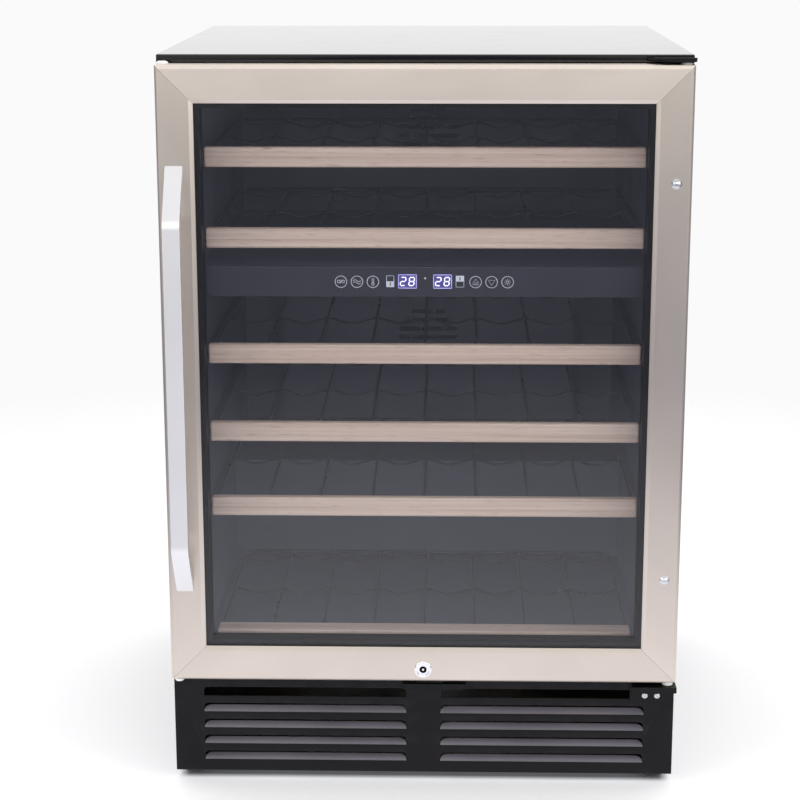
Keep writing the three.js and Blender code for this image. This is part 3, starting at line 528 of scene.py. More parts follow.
# ---- cabinet outside
pinX, pinDepth = 287, 20  # the door turns about this line
lockCentre = (0, 0, 157)
top = {"edge": 1.6}


def makeTop():
    low, high = nodeBox("top_panel")
    addPiece("lacquered_top", "cabinet", "gloss_top", [rounded(low, high, top["edge"])], ["top_panel"])


screw = {"cross": (0.62, 0.17), "dish": 0.5}


def screwHead(centre, radius, axis="y", out=-1, height=1.4):
    # a domed head: rings from the rim to the top, then a cross-shaped recess
    sides = 32
    turn = np.arange(sides) / sides * 2 * math.pi + 0.2
    c, s = np.abs(np.cos(turn)), np.abs(np.sin(turn))
    reach, half = (radius * share for share in screw["cross"])
    cross = np.minimum(reach / np.maximum(c, s), half / np.maximum(np.minimum(c, s), 1e-6))
    dome = [(radius * math.cos(a), out * height * math.sin(a)) for a in np.radians([0, 20, 40, 55, 66])]
    floor = out * height * screw["dish"]
    profile = [(radius * 0.9, -out * 0.2), *dome, (cross, out * height * 0.97), (cross * 0.8, floor)]
    return lathe(profile, centre, axis, sides)


rear = {"rows": 5, "centres": (-125, 0, 125), "halfWidth": 44, "lowestZ": 88, "pitch": 30, "height": 8, "out": 3.2}


def makeRear():
    # pressed hoods over the air slots: a thin crescent section that shrinks at both ends
    low, high = nodeBox("back_panel")
    u = np.linspace(-1, 1, 25)[:, None]
    swell = np.sqrt(np.clip(1 - np.abs(u) ** 6, 0, 1))
    outer = np.radians(np.linspace(4, 90, 8))
    hoods = []
    for centre in rear["centres"]:
        for row in range(rear["rows"]):
            topZ = rear["lowestZ"] + row * rear["pitch"] + rear["height"] + 2
            reach = rear["height"] * 0.95
            skin = [(reach * (1 - np.sin(a)), rear["out"] * np.cos(a) + 0.5) for a in outer]
            back = [(reach * (1 - np.sin(a)), (rear["out"] - 0.9) * np.cos(a) + 0.1) for a in outer[::-1]]
            drop, proud = np.array(skin[::-1] + back[::-1]).T
            x = centre + u * rear["halfWidth"] + 0 * drop
            depth = high[1] + proud * np.maximum(swell, 0.15)
            z = topZ - (reach - drop) * np.maximum(swell, 0.3) + 0 * u
            hoods.append(gridPart(np.stack([x, depth + 0 * x, z], -1)))
    addPiece("rear_louvres", "cabinet", "painted_steel", hoods)
    inset = 9
    heads = []
    for z in np.linspace(low[2] + inset, high[2] - inset, 6):
        heads += [screwHead((x, high[1], z), 4.2, out=1) for x in (low[0] + inset, high[0] - inset)]
    for x in (-190, -64, 64, 190):
        heads.append(screwHead((x, high[1], high[2] - inset), 4.2, out=1))
    addPiece("rear_screws", "cabinet", "bracket", heads)


grille = {
    "rows": 5, "pitch": 20.4, "lowestZ": 25.3, "height": 11.3, "inner": 20.4, "outer": 262,
    "sheet": 2.4, "corner": 5, "in": 7.2, "rise": 6.6, "end": 9, "blade": 1.1,
}


def makeGrille():
    # a thin sheet with slots that are round at their upper corners; the top row has no blades
    g = grille
    low, high = nodeBox("front_grille")
    low[1] += 0.2
    front = low[1]
    sheet = rounded((low[0], front, low[2]), (high[0], front + g["sheet"], high[2]), 1.0)
    slots, blades = [], []
    for row in range(g["rows"]):
        z0 = g["lowestZ"] + row * g["pitch"]
        for side in (-1, 1):
            x0, x1 = sorted((side * g["inner"], side * g["outer"]))
            c = g["corner"]
            outline = ([(x0, z0), (x1, z0)] + arc(x1 - c, z0 + g["height"] - c, c, 0, 90, 5)
                       + arc(x0 + c, z0 + g["height"] - c, c, 90, 180, 5))
            slots.append(prism(outline, front - 3, front + 6, "y"))
            if row < g["rows"] - 1:
                blades.append(louvreBlade(x0, x1, z0, front))
    addPiece("louvred_grille", "cabinet", "grille", [sheet], ["front_grille"], holes=slots)
    # the blades take the lighter finish, painted light over the grille's black paint
    addPiece("grille_blades", "cabinet", "grille", blades, material=finishes["blade"])


def louvreBlade(x0, x1, z0, front):
    # a scoop: it leaves the slot's lower edge and runs in and up, and its ends curve back to the sheet.
    # Section points go from the front lip to the inner edge and back on the underside.
    g = grille
    x = np.concatenate([np.linspace(0, g["end"], 9), np.linspace(x1 - x0 - g["end"], x1 - x0, 9)]) + x0
    fromEnd = np.clip(np.minimum(x - x0, x1 - x) / g["end"], 0, 1)[:, None]
    swell = np.sqrt(np.clip(1 - (1 - fromEnd) ** 2, 0.004, 1))
    s = np.linspace(0, 1, 7)
    inward, upward = g["in"] * s ** 1.15, g["rise"] * s ** 0.95
    depthTop = front + 0.6 + inward * swell
    zTop = z0 - 0.4 + upward * (0.35 + 0.65 * swell)
    depth = np.concatenate([depthTop, depthTop[:, ::-1] + 0.5], 1)
    z = np.concatenate([zTop, zTop[:, ::-1] - g["blade"]], 1)
    return gridPart(np.stack([x[:, None] + 0 * z, depth, z], -1))


hinges = {
    "screws": (262.7, 277.2), "screwZ": 112.4, "screwRadius": 3.6,
    "eyelets": (260.5, 275.2), "eyelet": [(2.6, 0), (3.4, -0.5), (3.4, 0.3), (2.6, 0.5)],
    "plan": [(244.8, 37.6), (244.8, 30), (262, 12), (270, 9.1), (293, 9.1), (296.9, 13), (296.9, 37.6)],
    "lip": [(250, 860.9), (279, 857.2), (291, 857.2), (296.9, 859.5), (296.9, 862.4), (250, 862.4)],
    "pin": [(3, 842.8), (4, 843.8), (4, 858.5), (1, 858.6)],
}


def makeHardware():
    # screws and eyelets of the lower bracket; the upper plate is a wedge-shaped lip, a plate, its pin and a flange
    h = hinges
    legFront = nodeBox("lower_hinge_bracket")[1][1] - 2.5
    heads = [screwHead((x, legFront, h["screwZ"]), h["screwRadius"]) for x in h["screws"]]
    addPiece("hinge_screws", "cabinet", "bracket", heads, material=finishes["steel_screw"])
    eyelets = [lathe(h["eyelet"], (x, 12, 133.2), "z", 24, wrap=True) for x in h["eyelets"]]
    addPiece("hinge_plate_eyelets", "cabinet", "bracket", eyelets)
    parts = [prism(h["plan"], 857.6, 860), prism(h["lip"], 9.2, 11.4, "y"),
             lathe(h["pin"], (pinX, pinDepth, 0), "z", 32),
             rounded((244.8, 35.2, 857.7), (296.9, 37.6, 863.4), 0.6, 2)]
    addPiece("upper_hinge_plate", "cabinet", "bracket", parts, ["upper_hinge_bracket"])


makeTop()
makeRear()
makeGrille()
makeHardware()
print("cabinet outside built")

# ---- feet, gland, machine parts
foot = {"sides": 40, "pad": 17, "flat": 9, "rim": 7, "knurl": 0.35, "padTop": 10.4, "stem": 3.6, "thread": 0.35,
        "pitch": 1.5, "stemTop": 38}


def makeFeet():
    # a domed pad with a knurled rim, then a threaded stem: its radius swings out and in once per turn
    f = foot
    dome = [(f["flat"] + (f["pad"] - f["flat"]) * math.sin(a), f["rim"] * (1 - math.cos(a)))
            for a in np.radians(np.linspace(0, 90, 7))]
    knurl = f["pad"] - f["knurl"] * (np.arange(f["sides"]) % 2)
    profile = [*dome, (knurl, f["rim"] + 0.6), (knurl, f["padTop"] - 0.6), (f["pad"] - 1, f["padTop"]),
               (f["stem"] + 1, f["padTop"])]
    for z in np.arange(f["padTop"] + 0.7, f["stemTop"] - 1, f["pitch"]):
        profile += [(f["stem"] + f["thread"], z), (f["stem"] - f["thread"], z + f["pitch"] / 2)]
    profile.append((f["stem"] - 0.8, f["stemTop"]))
    for name in ("front_left", "front_right", "rear_left", "rear_right"):
        low, high = nodeBox(f"{name}_foot")
        x, depth = (low[0] + high[0]) / 2, (low[1] + high[1]) / 2
        part = lathe(profile, (x, depth, 0), "z", f["sides"])
        addPiece(f"{name}_glide", f"{name}_leveller", "foot_rubber", [part], [f"{name}_foot"])


gland = [(14, -7.2), (14, -1.9), (10, -1.9), (10, -0.6), (9.2, 0), (7.4, 0), (7, -0.7), (5.6, -0.7), (4.6, -0.2),
         (4, -0.9), (4, -3), (0.5, -3.1), (0.5, -7.2)]


def makeGland():
    low, high = nodeBox("cord_gland")
    part = lathe(gland, ((low[0] + high[0]) / 2, high[1], (low[2] + high[2]) / 2), sides=40, wrap=True)
    addPiece("gland_bushing", "cabinet", "gland_rubber", [part], ["cord_gland"])


def fanBlade(radius0, radius1, start, chord, rise, lean):
    # a twisted thin blade: at every radius a closed thin section, turned on and tilted less further out
    s = np.linspace(0, 1, 9)[:, None]
    turn = np.linspace(0, 2 * math.pi, 16, endpoint=False)
    c, thick = 0.5 - 0.5 * np.cos(turn), 0.9 * np.sin(turn)
    radius = radius0 + (radius1 - radius0) * s
    width = chord * (0.75 + 0.5 * s - 0.45 * s ** 4)
    angle = start + lean * s ** 2 + (c - 0.5) * width
    height = rise * (c - 0.5) * (1 - 0.35 * s) + 1.2 * np.sin(c * math.pi) + thick
    return np.stack([radius * np.cos(angle), radius * np.sin(angle), height + 0 * radius], -1)


fans = {
    "upper_fan": {"body": "upper_blower", "blades": 7, "hub": 14},
    "lower_fan": {"body": "lower_blower", "blades": 7, "hub": 14},
    "condenser_fan": {"body": "condenser_blower", "blades": 5, "hub": 15},
}


def makeFans():
    # a hub, a small cap on it and its blades
    for node, values in fans.items():
        low, high = nodeBox(node)
        centre, size = (low + high) / 2, high - low
        thickness = size.min()
        # on its own axis first, then turned so that the axis lies along x or along the depth
        turn = [[0, 0, 1], [1, 0, 0], [0, 1, 0]] if size[0] == thickness else [[1, 0, 0], [0, 0, 1], [0, 1, 0]]
        hub = values["hub"]
        half = thickness / 2 - 0.3
        drum = [(hub - 1.2, half), (hub, half - 1.2), (hub, -half), (hub - 2, -half)]
        cap = [(0.6, half + 0.3), (3.4, half + 0.2), (4, half - 0.5), (4, 0)]
        parts = [lathe(drum, (0, 0, 0), "z", 32), lathe(cap, (0, 0, 0), "z", 16)]
        for k in range(values["blades"]):
            points = fanBlade(hub - 1.5, size.max() / 2 - 0.5, k / values["blades"] * 2 * math.pi,
                              4.2 / values["blades"], thickness * 0.8, 0.35)
            parts.append(gridPart(points))
        addPiece(f"{node}_wheel", values["body"], "fan", [moved(p, turn, centre) for p in parts], [node])


compressor = {
    "centre": (180, 518), "radius": 68, "bottom": 24, "top": 190, "shoulder": 34, "feet": (72, 38),
    "mount": [(9, 0), (9, 2), (7, 2.6), (9, 3.2), (9, 5.2), (4, 5.6), (4, 14)],
}


def makeCompressor():
    # a welded can with a round shoulder on a saddle plate, four ribbed rubber mounts, a terminal box and a stub
    low, high = nodeBox("compressor")
    x, depth = compressor["centre"]
    radius, bottom, top, shoulder = (compressor[k] for k in ("radius", "bottom", "top", "shoulder"))
    can = [(radius - 20, bottom), (radius - 4, bottom + 3), (radius, bottom + 12), (radius, 96), (radius + 2, 97),
           (radius + 2, 103), (radius, 104), *arc(radius - shoulder, top - shoulder, shoulder, 0, 88, 10)]
    parts = [lathe(can, (x, depth, 0), "z", 48)]
    parts.append(rounded((x - 85, depth - 50, low[2] + 4), (x + 85, depth + 50, bottom + 3), 2))
    dx, dy = compressor["feet"]
    for place in ((x - dx, depth - dy), (x - dx, depth + dy), (x + dx, depth - dy), (x + dx, depth + dy)):
        parts.append(lathe(compressor["mount"], (*place, low[2]), "z", 24))
    parts.append(rounded((x - 100, depth - 22, 70), (x - radius + 6, depth + 22, 120), 3))
    stub = [(x + 30, depth, top - 20), (x + 30, depth, top), (x + 30, depth + 0.1, high[2])]
    parts.append(tube(stub, 4, 16, (1, 0, 0)))
    addPiece("compressor_can", "cabinet", "compressor_paint", parts, ["compressor"])


makeFeet()
makeGland()
makeFans()
makeCompressor()
print("feet, fans and machine parts built")

# ---- control strip
stripBox = nodeBox("control_fascia")
keyZ = (nodeBox("up_key")[0][2] + nodeBox("up_key")[1][2]) / 2
windows = [(-29.8, -8.4), (10.2, 31.7)]
windowZ = (599.8, 616.2)


def strokes(paths, depth, radius=0.34):
    # raised lines of print: thin round strokes in the plane of the strip
    made = []
    for path, wrap in paths:
        points = np.array([(x, depth, z) for x, z in path])
        made.append(tube(points, radius, 6, (0, 1, 0), wrap))
    return made


def rectangle(x0, x1, z0, z1):
    # a closed path with a point in the middle of each side
    x, z = (x0 + x1) / 2, (z0 + z1) / 2
    return ([(x0, z0), (x, z0), (x1, z0), (x1, z), (x1, z1), (x, z1), (x0, z1), (x0, z)], True)


def makeStrip():
    # a flat strip with a round hole for each key and a shallow window for each display
    low, high = stripBox
    holes = []
    for name in keys:
        keyLow, keyHigh = nodeBox(f"{name}_key")
        x = (keyLow[0] + keyHigh[0]) / 2
        holes.append(lathe([(7.35, -3), (7.35, 12)], (x, low[1], keyZ), sides=48))
    for x0, x1 in windows:
        holes.append(rounded((x0, low[1] - 2, windowZ[0]), (x1, low[1] + 0.8, windowZ[1]), 0.4, 1))
    addPiece("control_strip", "cabinet", "fascia", [rounded(low, high, 1.2)], ["control_fascia"], holes=holes)


digitSegments = {"2": "abged", "8": "abcdefg"}


def digitParts(value, x, z, depth):
    # seven bars on the edges of two stacked squares, leaning a little to the right
    w, h, t = 2.8, 4.7, 0.62
    bars = {
        "a": (-w, w, h, 0), "g": (-w, w, 0, 0), "d": (-w, w, -h, 0),
        "b": (w, w, 0, h), "c": (w, w, -h, 0), "f": (-w, -w, 0, h), "e": (-w, -w, -h, 0),
    }
    made = []
    for key in digitSegments[value]:
        a, b, c, d = bars[key]
        if key in "agd":
            low, high = (a + 0.5, c - t), (b - 0.5, c + t)
        else:
            low, high = (a - t, c + 0.5), (a + t, d - 0.5)
        bar = rounded((low[0], depth, low[1]), (high[0], depth + 0.5, high[1]), 0.24, 2)
        bar["points"][:, 0] += 0.12 * bar["points"][:, 2]
        made.append(moved(bar, shift=(x, 0, z)))
    return made


def makeDisplays():
    # each window holds a lit ground, a thin frame on it and two digits
    depth = stripBox[0][1]
    grounds, digits, lines = [], [], []
    z0, z1 = windowZ
    for x0, x1 in windows:
        ground = (x0 + 0.15, depth + 0.35, z0 + 0.15), (x1 - 0.15, depth + 0.75, z1 - 0.15)
        grounds.append(rounded(*ground, 0.15, 1))
        lines += strokes([rectangle(x0 + 0.5, x1 - 0.5, z0 + 0.5, z1 - 0.5)], depth + 0.2, 0.42)
        middle, z = (x0 + x1) / 2, (z0 + z1) / 2
        for offset, value in ((-4.9, "2"), (4.8, "8")):
            digits += digitParts(value, middle + offset, z, depth - 0.1)
    addPiece("display_grounds", "cabinet", "fascia", grounds, material=finishes["display_ground"])
    addPiece("display_frames", "cabinet", "fascia", lines, material=finishes["display_lines"])
    addPiece("display_digits", "cabinet", "fascia", digits, material=finishes["display_digits"])


zones = {"lower": (-42.9, -34.5), "upper": (36.2, 45.1), "z": (601.7, 614.5), "dot": (1.1, 611.7)}


def makeZoneSymbols():
    # two small cabinets: the left one has its lower half filled, the right one its upper half, and a dot between
    depth = stripBox[0][1]
    z0, z1 = zones["z"]
    middle = (z0 + z1) / 2
    parts, marks = [], []
    for (x0, x1), (low, high) in ((zones["lower"], (z0, middle)), (zones["upper"], (middle, z1))):
        x = (x0 + x1) / 2
        parts += strokes([rectangle(x0, x1, z0, z1)], depth, 0.3)
        parts.append(rounded((x0, depth - 0.2, low), (x1, depth + 0.3, high), 0.2, 1))
        marks.append(rounded((x - 0.6, depth - 0.35, low + 1.2), (x + 0.6, depth, high - 1.2), 0.15, 1))
    x, z = zones["dot"]
    parts.append(lathe([(1.1, 0.4), (1.1, -0.1), (0.4, -0.4)], (x, depth, z), sides=20))
    addPiece("zone_symbols", "cabinet", "fascia", parts, material=finishes["printed_white"])
    addPiece("zone_marks", "cabinet", "fascia", marks)


def ring(x, z, radius, points=24):
    # a circle as a closed path
    turn = np.arange(points) / points * 2 * math.pi
    return ([(x + radius * math.cos(t), z + radius * math.sin(t)) for t in turn], True)


def wave(x0, x1, z, height):
    # one whole sine wave as an open path
    return ([(x0 + (x1 - x0) * s, z + height * math.sin(s * 2 * math.pi)) for s in np.linspace(0, 1, 13)], False)


def ray(start, end, turn):
    return ([(r * math.cos(turn), r * math.sin(turn)) for r in (start, end)], False)


# each key's mark: paths about the key's middle, and whether each one is closed
keys = {
    "scale": [ring(-2.1, 0.2, 1.3, 16), ring(2.1, 0.2, 1.3, 16), ([(-0.5, -1.6), (0.5, 1.8)], False)],
    "fan": [wave(-3.6, 3.6, 0.9, 1.0), wave(-3.6, 3.6, -1.1, 1.0)],
    "temperature": [ring(0, -2.2, 1.1, 14), ([(-0.7, -1.3), (-0.7, 3.0), (0.7, 3.0), (0.7, -1.3)], False)],
    "up": [([(-2.9, -0.8), (0, 2.7), (2.9, -0.8)], True), ([(-2.9, -2.4), (2.9, -2.4)], False)],
    "down": [([(-3.1, 1.7), (0, -2.8), (3.1, 1.7)], True)],
    "light": [ring(0, 0, 1.1, 14), *(ray(2.0, 2.9, a) for a in np.arange(8) * math.pi / 4)],
}
markScale = 1.25


def makeKeys():
    # a dished round cap, with a ring and a mark printed on it
    for name, marks in keys.items():
        low, high = nodeBox(f"{name}_key")
        x, front = (low[0] + high[0]) / 2, low[1]
        dish = [(r, 0.3 * (1 - (r / 6.2) ** 2) + 0.1) for r in (1, 3, 5, 6.2)]
        profile = [*dish, *arc(6.4, 0.6, 0.6, -90, 0, 4), (7, high[1] - front), (2, high[1] - front)]
        cap = lathe(profile, (x, front, keyZ), sides=48)
        addPiece(f"{name}_key_cap", f"{name}_button", "key", [cap], [f"{name}_key"])
        placed = [([(x + markScale * a, keyZ + markScale * b) for a, b in path], wrap) for path, wrap in marks]
        lines = strokes([ring(x, keyZ, 6.6, 40)], front + 0.12, 0.36) + strokes(placed, front + 0.3, 0.3)
        addPiece(f"{name}_key_mark", f"{name}_button", "key", lines, material=finishes["printed_white"])


makeStrip()
makeDisplays()
makeZoneSymbols()
makeKeys()
print("control strip built")

# ---- door
doorLow, doorHigh = nodeBox("door_bottom_rail")[0], nodeBox("door_top_rail")[1]
rail = {"width": 41.5, "sheet": 1.2, "chamfer": 2.3, "groove": 0.75, "lip": 4.5, "lipDepth": 3.5, "mitreGap": 0.12}


def railSection():
    # distance in from the edge against depth: flange, chamfer, groove, flat face, lip, and back again inside
    t, c, groove = rail["sheet"], rail["chamfer"], rail["groove"]
    faceEnd = rail["width"] - rail["lip"]
    outer = [(0, 34), (0, groove + c + 0.6), (0.25, groove + c), (c, groove + 0.05), (c + 0.3, groove),
             (c + 0.6, groove), (c + 1.1, 0.12), (c + 1.5, 0), (faceEnd - 0.5, 0), (faceEnd, 0.12),
             (faceEnd + 0.45, 0.45), (rail["width"] - 0.3, rail["lipDepth"] - 0.2),
             (rail["width"], rail["lipDepth"] + 0.3)]
    inner = [(rail["width"] - 1, rail["lipDepth"] + 1), (faceEnd - 0.5, t), (c + 2, t), (c + 0.8, groove + t),
             (t, groove + c + 0.8), (t, 34)]
    return np.array(outer + inner)


def makeRails():
    # the section drawn along each side of the door and cut at 45 degrees: half length = length - distance in
    inward, depth = railSection().T
    halfWidth, halfHeight = doorHigh[0], (doorHigh[2] - doorLow[2]) / 2
    middle = (doorHigh[2] + doorLow[2]) / 2
    places = {  # half length, half way across, and how length and distance across go to x and z
        "top_rail": (halfWidth, halfHeight, ((1, 0), (0, 1))),
        "bottom_rail": (halfWidth, halfHeight, ((-1, 0), (0, -1))),
        "right_stile": (halfHeight, halfWidth, ((0, 1), (-1, 0))),
        "left_stile": (halfHeight, halfWidth, ((0, -1), (1, 0))),
    }
    for name, (length, across, ((ax, bx), (az, bz))) in places.items():
        s = np.linspace(-1, 1, 9)[:, None]
        run = s * (length - inward - rail["mitreGap"])
        rise = across - inward + 0 * run
        points = np.stack([ax * run + bx * rise, depth + 0 * run, middle + az * run + bz * rise], -1)
        holes = []
        if name == "top_rail":
            holes = [lathe([(4.6, 840), (4.6, 870)], (pinX, pinDepth, 0), "z", 32)]
        if name == "bottom_rail":
            holes = [
                lathe([(4.6, 130), (4.6, 150)], (pinX, pinDepth, 0), "z", 32),
                lathe([(8.4, -4), (8.4, 8)], lockCentre, "y", 40),
                rounded((-8, 20, 136), (30, 27, 147), 0.5, 1),
            ]
        addPiece(f"brushed_{name}", "door", "door_steel", [gridPart(points)], [f"door_{name}"], holes=holes,
                 sharp=22)


handle = {"width": 20, "thickness": 6, "leg": 60, "bend": 16, "round": 1.0}


def makeHandle():
    # a flat bar carried along its bent centre line; its two end faces are cut parallel to the door
    low, high = nodeBox("door_handle")
    reach, halfHeight = -low[1], (high[2] - low[2]) / 2
    middle, x = (high[2] + low[2]) / 2, (high[0] + low[0]) / 2
    slope = math.atan2(reach, handle["leg"])
    half = handle["thickness"] / 2
    radius = handle["bend"] + half
    centreOut = reach - handle["thickness"] - handle["bend"]
    legRun = (centreOut + (radius + half) * math.cos(slope) - 0.3) / math.tan(slope)
    gripHalf = halfHeight - (radius + half) * math.sin(slope) - legRun
    turn = np.linspace(0, slope, 9)
    bendZ, bendOut = gripHalf + radius * np.sin(turn), centreOut + radius * np.cos(turn)
    legZ = np.linspace(bendZ[-1], bendZ[-1] + (bendOut[-1] - 0.3) / math.tan(slope), 6)[1:]
    legOut = bendOut[-1] - (legZ - bendZ[-1]) * math.tan(slope)
    grip = np.linspace(0, gripHalf, 12)[:-1]
    z = np.concatenate([grip, bendZ, legZ])
    out = np.concatenate([0 * grip + centreOut + radius, bendOut, legOut])
    tilt = np.concatenate([0 * grip, turn, 0 * legZ + slope])
    upZ, upOut = np.sin(tilt), np.cos(tilt)
    upZ[-1], upOut[-1] = 1 / math.sin(slope), 0
    z, out = np.concatenate([-z[:0:-1], z]), np.concatenate([out[:0:-1], out])
    upZ, upOut = np.concatenate([-upZ[:0:-1], upZ]), np.concatenate([upOut[:0:-1], upOut])
    path = np.stack([0 * z + x, -out, middle + z], -1)
    up = np.stack([0 * z, -upOut, upZ], -1)
    w, r = handle["width"] / 2, handle["round"]
    profile = (arc(w - r, half - r, r, 0, 90, 4) + arc(-w + r, half - r, r, 90, 180, 4)
               + arc(-w + r, -half + r, r, 180, 270, 4) + arc(w - r, -half + r, r, 270, 360, 4))
    bar = sweep(profile, path, (1, 0, 0), up)
    addPiece("bar_handle", "door", "handle_metal", [bar], ["door_handle"])


fittings = {
    "plug": [(5.9, 0.4), (5.9, -0.3), *arc(0, 4.2, 7.4, -54, -87, 6)], "plugX": 277.5, "plugZ": (726, 268),
    "collar": [(6.2, 0), (6.2, 1.1), (5.2, 1.6), (5.2, 2.4), (4.7, 2.4), (4.7, 0)],
    "spacer": [(6.2, 0), (6.2, -8), (5.6, -8.3), (4.7, -8.3), (4.7, 0)],
    "stopper": [(7.0, 0), (7.0, 1.0), (6.2, 2.2), (4.5, 3.2), (1, 3.4)], "stopperX": -288, "stretch": 2.4,
}


def makeDoorFittings():
    # domed plugs on the right stile, a collar and a spacer on the pins, and stoppers at the other two corners
    f = fittings
    plugs = [lathe(f["plug"], (f["plugX"], 0, z), sides=40) for z in f["plugZ"]]
    addPiece("plug_buttons", "door", "lock_chrome", plugs, material=finishes["steel_screw"])
    under = [(r, -f["stretch"] * h) for r, h in f["stopper"]]
    bushes = [lathe(f["collar"], (pinX, pinDepth, doorHigh[2] + 0.15), "z", 32, wrap=True),
              lathe(f["spacer"], (pinX, pinDepth, doorLow[2] - 0.1), "z", 32, wrap=True),
              lathe(f["stopper"], (f["stopperX"], pinDepth, doorHigh[2] + 0.1), "z", 32),
              lathe(under, (f["stopperX"], pinDepth, doorLow[2] - 0.1), "z", 32)]
    addPiece("corner_bushes", "door", "door_plastic", bushes, material=finishes["nylon"])


def makeGasket():
    # a soft bellows: a fat front bead, two folds and a rear lip, carried round the door
    low, high = nodeBox("door_gasket")
    front, back = low[1] + 0.05, high[1] - 0.05
    middle = (front + back) / 2
    outer, inner = 9, 25
    profile = [(outer, middle), (outer + 0.8, front), (outer + 4, front), (outer + 5, front + 1.1),
               (outer + 6, front), (inner - 3, front), (inner - 0.6, front + 0.6), (inner, middle),
               (inner - 0.8, back), (inner - 5, back), (inner - 6.2, back - 1.2), (inner - 7.4, back),
               (outer + 1.4, back)]
    part = doorRing(profile, doorHigh[0], doorLow[2], doorHigh[2])
    addPiece("magnetic_gasket", "door", "gasket", [part], ["door_gasket"])


def makeLock():
    # a stepped chrome rim round a deep ring-shaped keyway, with the barrel behind it
    rim = [(8.2, 0.6), (10, -0.05), (10, -0.7), (9.5, -1.25), (8.7, -1.55), (7.8, -1.5), (7.2, -1.1), (6.6, -0.85),
           (4.3, -0.85), (4.05, -0.6), (4.0, 2.6), (1.5, 2.6), (1.45, -0.7), (1.2, -0.95), (0.3, -1.0)]
    body = [(0.3, 21.7), (7.6, 21.7), (7.9, 21.4), (8.0, 0.6)]
    parts = [lathe(body[:0:-1] + body[:1], lockCentre, sides=48), lathe(rim, lockCentre, sides=64)]
    mark = [rounded((-0.5, -1.75, 164.4), (0.5, -1.3, 166.6), 0.2, 1)]
    addPiece("cylinder_lock", "lock", "lock_chrome", parts, ["lock_barrel"], holes=mark)
    well = lathe([(3.9, 2.3), (3.9, 2.5), (1.6, 2.5), (1.6, 2.3)], lockCentre, sides=32, wrap=True)
    addPiece("lock_keyway", "lock", "lock_chrome", [well], material=finishes["door_plastic"])
    low, high = nodeBox("lock_cam")
    addPiece("lock_lever", "lock", "lock_zinc", [rounded(low, high, 1.0)], ["lock_cam"])


makeRails()
makeHandle()
makeDoorFittings()
makeGasket()
makeLock()
print("door built")

# ---- shelves
shelfNames = ("top", "second", "third", "fourth", "fifth", "floor")
rack = {"frame": 2.5, "wire": 1.5, "pitch": 61, "dip": 6.5, "rows": (0.06, 0.5, 0.93), "wires": 9}


def rackParts(low, high):
    # a rod frame with round corners, wires that dip under every bottle, and straight wires from front to back
    r, z = rack["frame"], (low[2] + high[2]) / 2
    x0, x1, d0, d1 = low[0] + r, high[0] - r, low[1] + 0.2, high[1] - r
    c = 14
    corners = arc(x1 - c, d1 - c, c, 0, 90, 6) + arc(x0 + c, d1 - c, c, 90, 180, 6)
    path = [(x1, d0), (x1, (d0 + d1) / 2), *corners, (x0, (d0 + d1) / 2), (x0, d0)]
    parts = [tube([(a, b, z) for a, b in path], r, 12)]
    across = np.linspace(x0, x1, 97)
    dips = z - 0.8 - rack["dip"] * (0.5 - 0.5 * np.cos((across - x0) / (x1 - x0) * 2 * math.pi * 8))
    for share in rack["rows"]:
        depth = d0 + (d1 - d0) * share
        parts.append(tube(np.stack([across, 0 * across + depth, dips], -1), rack["wire"], 8))
    for x in np.linspace(x0, x1, rack["wires"])[1:-1]:
        run = np.array([(x, d0, z), (x, (d0 + d1) / 2, z), (x, d1, z)])
        parts.append(tube(run, rack["wire"] + 0.3, 8))
    return parts


def makeShelves():
    for name in shelfNames:
        body = "cabinet" if name == "floor" else f"{name}_shelf"
        low, high = nodeBox(f"{name}_shelf_front")
        board = rounded(low, high, 2.6 if name != "floor" else 2.0, 4)
        addPiece(f"{name}_beech_front", body, "shelf_wood", [board], [f"{name}_shelf_front"])
        low, high = nodeBox(f"{name}_shelf_rack")
        addPiece(f"{name}_wire_rack", body, "shelf_wire", rackParts(low, high), [f"{name}_shelf_rack"], sharp=50)


def makeLampBars():
    for name in ("upper", "lower"):
        low, high = nodeBox(f"{name}_light_bar")
        addPiece(f"{name}_lamp_lens", "cabinet", "lamp", [rounded(low, high, 1.2)], [f"{name}_light_bar"])


makeShelves()
makeLampBars()
print("shelves built")

# ---- studio
studio = {
    "reach": 60, "nearTone": (250, 250, 251), "toneFrom": 0.6, "toneTo": 1.9,
    # how far the floor's colour and glow are darkened under the cabinet: a painted contact shadow
    "paintedShadowUnderCabinet": 0.85, "lift": 0.2,
    "nearShine": (1.1, 1.1, 1.18, 1), "farShine": (0.27, 0.275, 0.34, 1), "shineFrom": -0.6, "shineTo": -2.5,
    "sideShine": (0.85, 0.85, 0.86, 1), "sideFrom": 1.0, "sideTo": 2.2,
}


